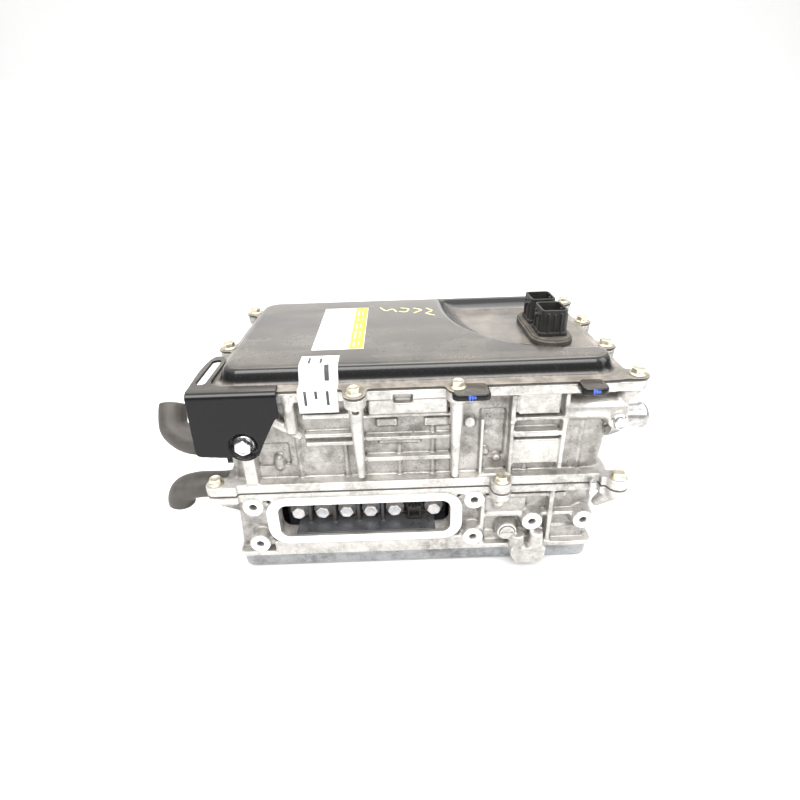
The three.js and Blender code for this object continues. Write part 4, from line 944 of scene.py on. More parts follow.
@dataclass
class Fasteners:
    """Every screw of the unit, each on the seat of its CAD node."""

    palette: Palette
    cover: FlangeBolt = field(default_factory=FlangeBolt)
    parting: FlangeBolt = field(default_factory=lambda: FlangeBolt(length=26))
    bracket: FlangeBolt = field(default_factory=lambda: FlangeBolt(13, 8.6, 7.5, 4, 14))
    terminal: FlangeBolt = field(default_factory=lambda: FlangeBolt(12, 7.8, 7.5, 3, 14, 9.0))
    cover_count: int = 10
    parting_count: int = 4
    terminal_count: int = 6

    def place(self, node: str, bolt: FlangeBolt, finish: bpy.types.Material, slot: Slot,
              front: bool, turn: float) -> bpy.types.Object:
        """Builds the screw that stands for one node.

        Args:
            node: The CAD node.
            bolt: The kind of screw.
            finish: The material.
            slot: A material slot; not used.
            front: Whether the head faces the front, or else up.
            turn: How far the head is turned, in radians.

        Returns:
            The screw.
        """
        low, high = span(node)
        at = (low + high) / 2
        if front:
            seat, toward = Vector((at.x, low.y + bolt.head, at.z)), (0.0, -1.0, 0.0)
        else:
            seat, toward = Vector((at.x, at.y, high.z - bolt.head)), (0.0, 0.0, 1.0)
        obj = bolt.build(node + "_look", finish, seat, toward, turn)
        return publish(obj, (node,))

    def build(self) -> None:
        """Builds every screw."""
        for i in range(1, self.cover_count + 1):
            self.place(f"cover_bolt_{i}", self.cover, self.palette.zinc, Slot.ZINC, False, i * 1.7)
        for i in range(1, self.parting_count + 1):
            self.place(f"parting_bolt_{i}", self.parting, self.palette.zinc, Slot.ZINC, False, i * 2.3)
        self.place("bracket_bolt", self.bracket, self.palette.silver, Slot.SILVER, True, 0.35)
        self.place("spigot_bolt", self.cover, self.palette.silver, Slot.SILVER, True, 0.9)
        for i in range(1, self.terminal_count + 1):
            node = f"terminal_bolt_{i}"
            self.place(node, self.terminal, self.palette.contact, Slot.SILVER, True, 0.5 + 0.13 * i)


# ---- pressed cover ------------------------------------------------------------------------


@dataclass
class Cover:
    """Black pressed cover: flange with lugs, dome, sunken corner and two tabs."""

    palette: Palette
    sheet: float = 1.6
    rise: float = 14.0
    left: float = -173.5
    right: float = 180.5
    front: float = -107.0
    back: float = 113.0
    dome_inset: Point = (6.0, 11.0, 10.0)
    corner: float = 20.0
    bolt_head: float = 6.0
    bolts: int = 10
    tabs: tuple[Point, ...] = ((45.3, 31, 18), (145.0, 22, 15))
    lug: float = 9.5
    recess_floor: float = 1.8
    recess_rim: float = 8.0
    steps: tuple[tuple[float, float], ...] = (
        (-4, 0.0), (-1.0, 0.1), (0.2, 0.8), (1.6, 3.0), (3.2, 7.2), (4.8, 10.8), (7, 13.1),
        (11, 13.9), (20, 14.0))
    walls: tuple[tuple[float, float], ...] = (
        (-8, 20.0), (-1, 13.6), (3, 10.4), (8, 6.6), (14, 3.2), (21, 1.0), (28, 0.0), (60, 0.0))

    def __post_init__(self) -> None:
        """Reads the places that the cover shares with the frame."""
        side, front, back = self.dome_inset
        self.seat = span("cover_bolt_1")[1].z - self.bolt_head - 0.05
        self.x0, self.x1 = self.left + side, self.right - side
        self.y0, self.y1 = self.front + front, self.back - back

    def recess_inset(self, x: float, y: float) -> float:
        """Gives how far a point lies inside the sunken corner's edge, negative outside.

        Args:
            x: Place across.
            y: Place in depth.

        Returns:
            The distance in millimetres.
        """
        cx, cy = self.right - 14, self.y1 - self.recess_rim
        sx, sy = (self.right - 10) - 38, 162.0
        dx, dy = abs(x - cx) / sx, abs(y - cy) / sy
        if x > cx:
            dx = 0.0
        q = max((dx ** 2.5 + dy ** 2.5) ** 0.4, 1e-6)
        reach = math.hypot(dx * sx, dy * sy)
        inside = reach / q - reach if q > 0.02 else sy
        return mix_smooth(inside, (cy - y) * 1.7 + 1.5, 6.0)

    def height(self, x: float, y: float, inset: float) -> float:
        """Gives the cover's surface at a point.

        Args:
            x: Place across.
            y: Place in depth.
            inset: Distance from the foot of the dome.

        Returns:
            The height in millimetres.
        """
        dome = softly(list(self.steps), inset, 1.6)
        crown = 0.35 * math.sin((x + 40) / 61) * math.cos((y - 10) / 47) * min(max(inset, 0) / 20, 1)
        floor = self.recess_floor + softly(list(self.walls), self.recess_inset(x, y), 3.0)
        ripple = 0.25 * math.sin(x / 17) * math.sin(y / 23) + 0.2
        return self.seat + mix_smooth(dome + crown, floor + max(ripple, 0.0), 3.2)

    def distance(self, x: float, y: float) -> float:
        """Gives how far a point lies inside the foot of the dome.

        Args:
            x: Place across.
            y: Place in depth.

        Returns:
            The distance, negative outside.
        """
        r = self.corner
        qx = max(self.x0 + r - x, x - self.x1 + r, 0.0)
        qy = max(self.y0 + r - y, y - self.y1 + r, 0.0)
        if qx > 0 and qy > 0:
            return r - math.hypot(qx, qy)
        return min(x - self.x0, self.x1 - x, y - self.y0, self.y1 - y)

    def surface(self, x: float, y: float) -> float:
        """Gives the cover's height at a point."""
        return self.height(x, y, self.distance(x, y))

    def ring(self, inset: float, per_corner: int, long_side: int, short_side: int) -> Ring:
        """Gives one ring of the dome, an even number of points round the outline.

        Args:
            inset: Distance inside the foot of the dome.
            per_corner: Points in each corner.
            long_side: Points on each of the front and back.
            short_side: Points on each end.

        Returns:
            The ring.
        """
        r = max(self.corner - inset * 0.75, 1.5)
        half = (self.y1 - self.y0) / 2 - inset
        r = min(r, max(half, 0.2))
        x0, x1 = self.x0 + inset, self.x1 - inset
        y0, y1 = self.y0 + inset, self.y1 - inset
        ring: Ring = []

        def run(a: tuple[float, float], b: tuple[float, float], n: int) -> None:
            """Adds a straight run of points without its last one.

            Args:
                a: First point.
                b: Last point.
                n: Number of steps.
            """
            for i in range(n):
                t = i / n
                x, y = a[0] + (b[0] - a[0]) * t, a[1] + (b[1] - a[1]) * t
                ring.append((x, y, self.height(x, y, inset)))

        def bend(cx: float, cy: float, start: float) -> None:
            """Adds a corner's points without its last one.

            Args:
                cx: The corner's middle across.
                cy: The corner's middle in depth.
                start: First angle.
            """
            for i in range(per_corner):
                a = start + math.pi / 2 * i / per_corner
                x, y = cx + r * math.cos(a), cy + r * math.sin(a)
                ring.append((x, y, self.height(x, y, inset)))

        run((x0 + r, y0), (x1 - r, y0), long_side)
        bend(x1 - r, y0 + r, -math.pi / 2)
        run((x1, y0 + r), (x1, y1 - r), short_side)
        bend(x1 - r, y1 - r, 0)
        run((x1 - r, y1), (x0 + r, y1), long_side)
        bend(x0 + r, y1 - r, math.pi / 2)
        run((x0, y1 - r), (x0, y0 + r), short_side)
        bend(x0 + r, y0 + r, math.pi)
        return ring

    def dome(self) -> bpy.types.Object:
        """Builds the dome as a thin shell.

        Returns:
            The shell.
        """
        insets = [-4.0 + 0.5 * i for i in range(34)]
        last = (self.y1 - self.y0) / 2 - 0.6
        count = round((last - insets[-1]) / 1.45)
        insets += [insets[-1] + (last - insets[-1]) * (i + 1) / count for i in range(count)]
        long_side, short_side, per_corner = 190, 96, 14
        rings = [self.ring(d, per_corner, long_side, short_side) for d in insets]
        n = len(rings[0])
        points = [p for ring in rings for p in ring]
        faces = skin_faces(len(rings), n, capped=False)
        base = (len(rings) - 1) * n
        front = [base + i for i in range(long_side + 1)]
        start = long_side + 2 * per_corner + short_side
        rear = [base + start + long_side - i for i in range(long_side + 1)]
        for a, b, c, d in zip(front, front[1:], rear[1:], rear):
            faces.append((a, b, c, d))
        right_end = list(range(base + long_side, base + start + 1))
        left_end = list(range(base + start + long_side, base + n)) + [base]
        faces += [tuple(right_end), tuple(left_end)]
        dome = object_from("dome", points, faces, self.palette.cover)
        thick = dome.modifiers.new("thick", "SOLIDIFY")
        thick.thickness = 1.3 * MM
        thick.offset = -1.0 if self.faces_up(dome) else 1.0
        mesh = evaluated(dome)
        drop([dome])
        result = placed("dome", mesh)
        return result

    def faces_up(self, obj: bpy.types.Object) -> bool:
        """Says whether most of a sheet's faces point up."""
        return sum(face.normal.z * face.area for face in obj.data.polygons) > 0

    def outline(self) -> list[tuple[float, float]]:
        """Gives the flange's outline with its lugs, rounded into the sides.

        Returns:
            Its points, as x and y.
        """
        base = []
        r = 14.0
        flat = rounded_ring(self.left, self.right, self.front, self.back, r, 0, 24)
        for (x0, y0, _), (x1, y1, _) in zip(flat, flat[1:] + flat[:1]):
            n = max(1, int(math.hypot(x1 - x0, y1 - y0) / 0.6))
            base += [(x0 + (x1 - x0) * i / n, y0 + (y1 - y0) * i / n) for i in range(n)]
        for i in range(1, self.bolts + 1):
            at = middle(f"cover_bolt_{i}")
            foot = min(base, key=lambda p: math.hypot(p[0] - at.x, p[1] - at.y))
            gap = math.hypot(at.x - foot[0], at.y - foot[1])
            if gap < 0.5:
                continue
            ux, uy = (at.x - foot[0]) / gap, (at.y - foot[1]) / gap
            moved = []
            for x, y in base:
                across = (x - at.x) * -uy + (y - at.y) * ux
                ahead = (x - at.x) * ux + (y - at.y) * uy
                near = math.hypot(x - at.x, y - at.y) < 40
                reach = math.sqrt(max(self.lug ** 2 - across ** 2, 0))
                if near and abs(across) < self.lug and ahead < reach:
                    x, y = x + ux * (reach - ahead), y + uy * (reach - ahead)
                moved.append((x, y))
            base = resampled(moved, 0.9)
        for _ in range(14):
            base = [((a[0] + 2 * b[0] + c[0]) / 4, (a[1] + 2 * b[1] + c[1]) / 4)
                    for a, b, c in zip([base[-1]] + base, base, base[1:] + base[:1])]
        return base

    def flange(self) -> bpy.types.Object:
        """Builds the flat flange with rounded edges and a hole under the dome.

        Returns:
            The flange.
        """
        curve = bpy.data.curves.new("flange", "CURVE")
        curve.dimensions = "2D"
        curve.fill_mode = "BOTH"
        curve.extrude = (self.sheet / 2 - 0.35) * MM
        curve.bevel_depth = 0.35 * MM
        curve.bevel_resolution = 2
        hole = [(x, y) for x, y, _ in self.ring(2.0, 10, 60, 40)]
        for loop in (self.outline(), hole):
            spline = curve.splines.new("POLY")
            spline.points.add(len(loop) - 1)
            for point, (x, y) in zip(spline.points, loop):
                point.co = (x * MM, y * MM, 0, 1)
            spline.use_cyclic_u = True
        temp = placed("flange", curve)
        mesh = evaluated(temp)
        mesh.transform(Matrix.Translation((0, 0, (self.seat - self.sheet / 2) * MM)))
        bpy.data.objects.remove(temp)
        obj = placed("flange", mesh)
        return obj

    def tab(self, x: float, width: float, reach: float) -> bpy.types.Object:
        """Builds one front tab, its edge turned down.

        Args:
            x: Middle of the tab.
            width: Its width.
            reach: How far it stands out of the flange.

        Returns:
            The tab.
        """
        y1 = self.front + 3
        y0 = self.front - reach
        z = self.seat
        profile = [(0.0, -5.5), (0.0, -2.2), (0.25, -1.1), (0.8, -0.35), (1.7, 0.0), (3.0, 0.02)]
        outer = [self.tab_ring(x, width, y0, y1, inset, z + rise) for inset, rise in profile]
        inner = [self.tab_ring(x, width, y0, y1, inset + 1.3, z + rise - (1.3 if inset > 0.5 else 0.0))
                 for inset, rise in reversed(profile)]
        return loft("tab", inner + outer, self.palette.cover)

    def tab_ring(self, x: float, width: float, y0: float, y1: float, inset: float, z: float) -> Ring:
        """Gives one ring of a tab, shrunk by an inset."""
        half = width / 2 - inset
        return rounded_ring(x - half, x + half, y0 + inset, y1, max(5.5 - inset, 1.0), z, 10)

    def build(self) -> None:
        """Builds the cover."""
        tabs = [self.tab(x, width, reach) for x, width, reach in self.tabs]
        publish(joined("cover_tabs", tabs, self.palette.bracket))
        cover = joined("cover_pressing", [self.dome(), self.flange()], self.palette.cover)
        cover.data.polygons.foreach_set("use_smooth", [True] * len(cover.data.polygons))
        for face in cover.data.polygons:
            face.use_smooth = len(face.vertices) <= 4
        publish(cover, ("top_cover",))


def resampled(loop: list[tuple[float, float]], step: float) -> list[tuple[float, float]]:
    """Gives points at even steps along a closed line.

    Args:
        loop: The line's corners.
        step: About how far apart the new points lie.

    Returns:
        The new points.
    """
    closed = loop + loop[:1]
    lengths = [math.dist(a, b) for a, b in zip(closed, closed[1:])]
    total = sum(lengths)
    count = max(8, round(total / step))
    result = []
    index, done = 0, 0.0
    for i in range(count):
        goal = total * i / count
        while index < len(lengths) - 1 and done + lengths[index] < goal:
            done += lengths[index]
            index += 1
        t = (goal - done) / max(lengths[index], 1e-9)
        a, b = closed[index], closed[index + 1]
        result.append((a[0] + (b[0] - a[0]) * t, a[1] + (b[1] - a[1]) * t))
    return result


# ---- castings -----------------------------------------------------------------------------


@dataclass
class Castings:
    """The three cast housings, their machined faces and their small cast features."""

    palette: Palette
    plane: float = -107.0
    wall: float = -95.0

    def upper_detail(self) -> list[bpy.types.Object]:
        """Gives the small features of the upper housing's front.

        Returns:
            Raw solids, to be melted in.
        """
        raws = [
            stub((-123, self.wall + 1.5, 119), (0, 0, 1), 9, 4.6),
            stub((-123, self.wall + 1.5, 119), (0, 0, -1), 3.6, 4.6, 2.4),
            stub((-123, self.wall + 1.5, 128), (0, 0, 1), 3.6, 4.6, 2.4),
            stub((48, self.wall + 1, 162), (0, -1, 0), 6.5, 5.2, 4.8),
            stub((63, self.wall + 5, 129), (0, -1, 0), 7, 3.4, 3.0),
            stub((74, self.wall + 5, 122), (0, -1, 0), 7, 3.4, 3.0),
        ]
        for x0, x1, z0, z1 in ((-33, -15, 160, 167), (9, 29, 159, 167), (-32, 5, 142.5, 147)):
            raws.append(block(x0, x1, self.wall - 3.2, self.wall + 2, z0, z1))
        for x, z0, z1 in ((-104, 109, 150), (-62, 109, 146), (-14, 109, 150), (16, 109, 162),
                          (100, 110, 150), (148, 109, 188)):
            raws.append(block(x - 1.3, x + 1.3, self.wall - 1.8, self.wall + 2, z0, z1))
        for x0, x1, z0, z1 in ((57.5, 60.2, 110, 166), (83.2, 86.4, 108, 168), (58, 86, 107, 109.5)):
            raws.append(block(x0, x1, self.wall - 7.5, self.wall + 2, z0, z1))
        for x in (-152, -40, 48, 118, 160):
            raws.append(stub((x, self.wall + 2, 184), (0, -1, 0), 3.4, 5.6, 5.0))
        for x, z in ((-90, 120), (30, 126), (62, 150), (134, 130)):
            raws.append(stub((x, self.wall + 1, z), (0, -1, 0), 1.9, 3.4, 3.0))
        return raws

    def lower_detail(self) -> list[bpy.types.Object]:
        """Gives the small features of the lower housing's front: pips and marks.

        Returns:
            Raw solids, to be melted in.
        """
        raws = []
        for i in range(6):
            for k in range(3):
                x = -113 + 24.5 * i + 5.2 * k
                raws.append(stub((x, self.plane + 3, 30.5), (0, -1, 0), 2.7, 1.8, 1.3, 14))
                raws.append(block(x - 1.9, x + 1.9, self.plane + 0.3, self.plane + 3, 32.5, 33.4))
        for x in (70, 128, 150):
            raws.append(stub((x, self.wall + 2, 84), (0, -1, 0), 3.2, 4.2, 3.8))
        for i in range(4):
            raws.append(block(72 + 9 * i, 74.2 + 9 * i, self.wall - 1.5, self.wall + 2, 60, 80))
        return raws

    def cover_detail(self) -> list[bpy.types.Object]:
        """Gives the shallow ribs under and round the bottom cover.

        Returns:
            Raw solids, to be melted in.
        """
        low, high = span("bottom_cover")
        raws = []
        for i in range(9):
            x = low.x + 26 + i * (high.x - low.x - 52) / 8
            raws.append(block(x - 1.6, x + 1.6, low.y + 10, high.y - 11, low.z + 0.4, low.z + 3))
        return raws

    def face_plate(self, name: str, outer: Ring, inner: Ring) -> bpy.types.Object:
        """Builds a thin machined ring on the front plane.

        Args:
            name: The object's name.
            outer: Outer loop, as x and z with y unused.
            inner: Inner loop with as many points.

        Returns:
            The ring.
        """
        y0, y1 = self.plane - 0.32, self.plane + 0.4
        loops = [(outer, y1, 1.0), (outer, y0 + 0.12, 1.0), (outer, y0, 0.994), (inner, y0, 1.006),
                 (inner, y0 + 0.12, 1.0), (inner, y1, 1.0)]
        rings = []
        for loop, y, grow in loops:
            cx = sum(p[0] for p in loop) / len(loop)
            cz = sum(p[2] for p in loop) / len(loop)
            rings.append([(cx + (x - cx) * grow, y, cz + (z - cz) * grow) for x, _, z in loop])
        return loft(name, rings, self.palette.machined, closed_loop=True, smooth=False)

    def machined(self) -> None:
        """Builds the machined rings round the terminal window and on the bosses."""
        def loop(x0: float, x1: float, z0: float, z1: float, r: float) -> Ring:
            """Gives a rounded loop in the front plane."""
            return [(x, 0.0, z) for x, z, _ in rounded_ring(x0, x1, z0, z1, r, 0, 16)]

        def disc(x: float, z: float, r: float) -> Ring:
            """Gives a round loop in the front plane."""
            angles = [math.tau * i / 48 for i in range(48)]
            return [(x + r * math.cos(a), 0.0, z + r * math.sin(a)) for a in angles]

        window = self.face_plate("window_machined_face", loop(-139.8, 42.7, 38.5, 92.0, 18.5),
                                 loop(-129.2, 32.1, 46.6, 83.9, 8.9))
        publish(window)
        places = [(-151.1, 38.7), (-151.1, 83.1), (54.0, 38.7), (54.0, 83.1), (109.8, 55), (158.4, 55)]
        rings = [self.face_plate("ring", disc(x, z, 9.3), disc(x, z, 3.9)) for x, z in places]
        publish(joined("boss_machined_faces", rings, self.palette.machined))

    def build(self) -> None:
        """Builds the housings."""
        skin = Skin(voxel=1.15, smoothing=4, keep=0.32)
        upper = skin.apply(
            "upper_housing", [node_copy("upper_casting")] + self.upper_detail(), self.palette.cast)
        publish(upper, ("upper_casting",))
        lower = skin.apply(
            "lower_housing", [node_copy("lower_casting")] + self.lower_detail(), self.palette.cast)
        publish(lower, ("lower_casting",))
        # The bottom pan wears the darker copy of the cast finish, painted shade under the housing.
        bottom = Skin(1.2, 4, 0.35).apply(
            "bottom_pan", [node_copy("bottom_cover")] + self.cover_detail(), self.palette.shaded_bottom_cast)
        publish(bottom, ("bottom_cover",))
        self.machined()


# ---- bracket, hoses and fittings ----------------------------------------------------------


@dataclass
class Fittings:
    """Bracket, spigots, plug and pin: rounded copies of their solids."""

    palette: Palette

    def rounded(self, node: str, name: str, skin: Skin, finish: bpy.types.Material,
                extra: list[bpy.types.Object] | None = None) -> bpy.types.Object:
        """Builds a rounded copy of one node.

        Args:
            node: The CAD node.
            name: The new object's name.
            skin: How it is rounded.
            finish: The material.
            extra: Raw solids to melt in.

        Returns:
            The new object.
        """
        obj = skin.apply(name, [node_copy(node)] + (extra or []), finish)
        return publish(obj, (node,))

    def build(self) -> None:
        """Builds the fittings."""
        p = self.palette
        self.rounded("side_bracket", "bracket_pressing", Skin(0.55, 2, 0.5), p.bracket)
        self.rounded("side_spigot", "side_spigot_turned", Skin(0.42, 2, 0.5), p.pipe)
        self.rounded("coolant_spigot_upper", "upper_spigot_pipe", Skin(0.5, 2, 0.5), p.machined)
        self.rounded("coolant_spigot_lower", "lower_spigot_pipe", Skin(0.5, 2, 0.5), p.machined)
        self.rounded("slotted_plug", "slotted_plug_turned", Skin(0.22, 2, 0.5), p.cast)
        self.rounded("locating_pin", "locating_pin_turned", Skin(0.2, 2, 0.6), p.silver)


@dataclass
class Hose:
    """A moulded rubber elbow with rounded ends, a mould seam and a spring band clamp."""

    palette: Palette
    node: str
    clamp_node: str
    line: tuple[Point, ...]
    radius: float = 13.5
    bore: float = 9.3
    axis_y: float = -45.0
    tooth: tuple[float, float] = (2.2, 5.2)

    def centre(self, steps: int) -> list[Vector]:
        """Gives even points on the smooth centre line.

        Args:
            steps: Number of steps along the line.

        Returns:
            The points.
        """
        start = span(self.node)[1].x
        knots = [Vector((start + x, self.axis_y + y, z)) for x, y, z in self.line]
        knots = [2 * knots[0] - knots[1]] + knots + [2 * knots[-1] - knots[-2]]
        times = [0.0]
        for a, b in zip(knots, knots[1:]):
            times.append(times[-1] + math.sqrt((b - a).length))
        points: list[Vector] = []
        for i in range(1, len(knots) - 2):
            t0, t1, t2, t3 = times[i - 1:i + 3]
            p0, p1, p2, p3 = knots[i - 1:i + 3]
            for k in range(24):
                t = t1 + (t2 - t1) * k / 24
                a1 = p0 * ((t1 - t) / (t1 - t0)) + p1 * ((t - t0) / (t1 - t0))
                a2 = p1 * ((t2 - t) / (t2 - t1)) + p2 * ((t - t1) / (t2 - t1))
                a3 = p2 * ((t3 - t) / (t3 - t2)) + p3 * ((t - t2) / (t3 - t2))
                b1 = a1 * ((t2 - t) / (t2 - t0)) + a2 * ((t - t0) / (t2 - t0))
                b2 = a2 * ((t3 - t) / (t3 - t1)) + a3 * ((t - t1) / (t3 - t1))
                points.append(b1 * ((t2 - t) / (t2 - t1)) + b2 * ((t - t1) / (t2 - t1)))
        points.append(knots[-2])
        lengths = [0.0]
        for a, b in zip(points, points[1:]):
            lengths.append(lengths[-1] + (b - a).length)
        even = []
        index = 0
        for i in range(steps + 1):
            goal = lengths[-1] * i / steps
            while index < len(points) - 2 and lengths[index + 1] < goal:
                index += 1
            t = (goal - lengths[index]) / max(lengths[index + 1] - lengths[index], 1e-9)
            even.append(points[index].lerp(points[index + 1], min(t, 1.0)))
        return even

    def radius_at(self, place: float, total: float, angle: float) -> float:
        """Gives the outer radius: end roll, squeeze under the clamp, seam and wrap marks.

        Args:
            place: Distance from the first end.
            total: Length of the hose.
            angle: Angle round it.

        Returns:
            The radius in millimetres.
        """
        end = min(place, total - place)
        roll = 0.9 * max(0.0, 1 - end / 1.1) ** 2
        squeeze = 0.35 * math.exp(-((place - 9) / 5.5) ** 2)
        swell = 0.35 * math.exp(-((place - 17.5) / 3.0) ** 2)
        seam = 0.28 * math.exp(-((math.sin(angle / 2 - 0.3) * 26) ** 2))
        wrap = 0.05 * math.sin(place * 2.4 + 1.3 * math.sin(angle))
        return self.radius - roll - squeeze + swell + seam + wrap

    def hose(self) -> bpy.types.Object:
        """Builds the hose.

        Returns:
            The hose.
        """
        steps, around = 110, 64
        line = self.centre(steps)
        total = sum((b - a).length for a, b in zip(line, line[1:]))
        side = Vector((0, 0, 1))
        frames = []
        for i, point in enumerate(line):
            ahead = (line[min(i + 1, steps)] - line[max(i - 1, 0)]).normalized()
            side = (side - ahead * side.dot(ahead)).normalized()
            frames.append((point, side, ahead.cross(side)))

        def ring(i: int, bore: float | None) -> Ring:
            """Gives one ring of the outside or of the bore.

            Args:
                i: Number of the step.
                bore: Radius of the ring, or None for the outside.

            Returns:
                The ring's points.
            """
            point, u, v = frames[i]
            result: Ring = []
            for k in range(around):
                a = math.tau * k / around
                r = bore if bore else self.radius_at(total * i / steps, total, a)
                q = point + u * (r * math.cos(a)) + v * (r * math.sin(a))
                result.append((q.x, q.y, q.z))
            return result

        outer = [ring(i, None) for i in range(steps + 1)]
        lips = [ring(steps, self.radius - 1.4), ring(steps, self.bore + 0.5)]
        inner = [ring(i, self.bore) for i in range(steps, -1, -1)]
        lips0 = [ring(0, self.bore + 0.5), ring(0, self.radius - 1.4)]
        return loft(self.node + "_look", outer + lips + inner + lips0, self.palette.rubber, closed_loop=True)

    def clamp(self) -> bpy.types.Object:
        """Builds the band clamp with its ears, end fold and slot.

        Returns:
            The clamp.
        """
        low, high = span(self.clamp_node)
        z = high.z - self.radius - 1.7
        near, far = self.tooth
        extra = [block(low.x + 2.5, low.x + 8.5, self.axis_y + a, self.axis_y + b, low.z + 0.2, low.z + 1.5)
                 for a, b in ((-far, -near), (near, far))]
        extra += [stub((x, self.axis_y, z + self.radius + 1.0), (0, 0, 1), 1.1, 1.8, 1.4)
                  for x in (low.x + 3.6, low.x + 7.4)]
        return Skin(0.36, 2, 0.5).apply(
            self.clamp_node + "_look", [node_copy(self.clamp_node)] + extra, self.palette.black_steel)

    def build(self) -> None:
        """Builds the hose and its clamp."""
        publish(self.hose(), (self.node,))
        publish(self.clamp(), (self.clamp_node,))


@dataclass
class Terminals:
    """Insulating block, copper bars and interlock plug in the window."""

    palette: Palette
    count: int = 6

    def build(self) -> None:
        """Builds the pieces of the window."""
        block_look = Skin(0.6, 2, 0.5).apply(
            "terminal_block_look", [node_copy("terminal_block")], self.palette.block)
        publish(block_look, ("terminal_block",))
        for i in range(1, self.count + 1):
            node = f"terminal_busbar_{i}"
            bar = Skin(0.42, 2, 0.5).apply(f"{node}_look", [node_copy(node)], self.palette.copper)
            publish(bar, (node,))
        low, high = span("interlock_connector")
        starts = [low.x + 1.5 + 3.2 * i for i in range(5)]
        ribs = [block(x, x + 0.8, low.y + 2.2, low.y + 5, low.z + 13, high.z - 1) for x in starts]
        plug = Skin(0.32, 2, 0.5).apply(
            "interlock_look", [node_copy("interlock_connector")] + ribs, self.palette.plastic)
        publish(plug, ("interlock_connector",))


@dataclass
class Headers:
    """Two tall sockets on an oval plinth, with their pins."""

    palette: Palette
    socket: float = 20.0

    def shroud(self, node: str) -> None:
        """Builds one header and its pins.

        Args:
            node: The CAD node.
        """
        low, high = span(node)
        mid = (low + high) / 2
        centre_x = mid.x + 0.55
        extra = []
        for i in range(5):
            y = low.y + 5 + i * (high.y - low.y - 10) / 4
            extra.append(block(high.x - 2.4, high.x - 0.7, y - 0.5, y + 0.5, low.z + 3, high.z - 4))
        for i in range(3):
            x = centre_x - 6 + i * 6
            extra.append(block(x - 0.5, x + 0.5, low.y + 0.5, low.y + 2.4, low.z + 2.5, high.z - 4))
        obj = Skin(0.36, 2, 0.45).apply(node + "_look", [node_copy(node)] + extra, self.palette.plastic)
        publish(obj, (node,))
        pins = []
        floor = high.z - self.socket
        for row in range(2):
            for i in range(4):
                x, y = centre_x - 4 + row * 7, mid.y - 7.5 + i * 5
                rings = [[(x + sx * h, y + sy * h, z) for sx, sy in ((-1, -1), (1, -1), (1, 1), (-1, 1))]
                         for h, z in ((0.85, floor - 0.6), (0.85, floor + 8.6), (0.35, floor + 10.2))]
                pins.append(loft("pin", rings, self.palette.pin, smooth=False))
        publish(joined(node + "_pins", pins, self.palette.pin))

    def build(self) -> None:
        """Builds the plinth and both headers."""
        low, high = span("connector_base")
        mid = (low + high) / 2
        pads = [stub((mid.x, y, high.z - 3), (0, 0, 1), 2.6, 4.6, 4.0) for y in (low.y + 8, high.y - 8)]
        base = Skin(0.5, 3, 0.4).apply(
            "connector_base_look", [node_copy("connector_base")] + pads, self.palette.dusty_plastic)
        publish(base, ("connector_base",))
        self.shroud("signal_connector_front")
        self.shroud("signal_connector_rear")


# ---- labels and marks ---------------------------------------------------------------------


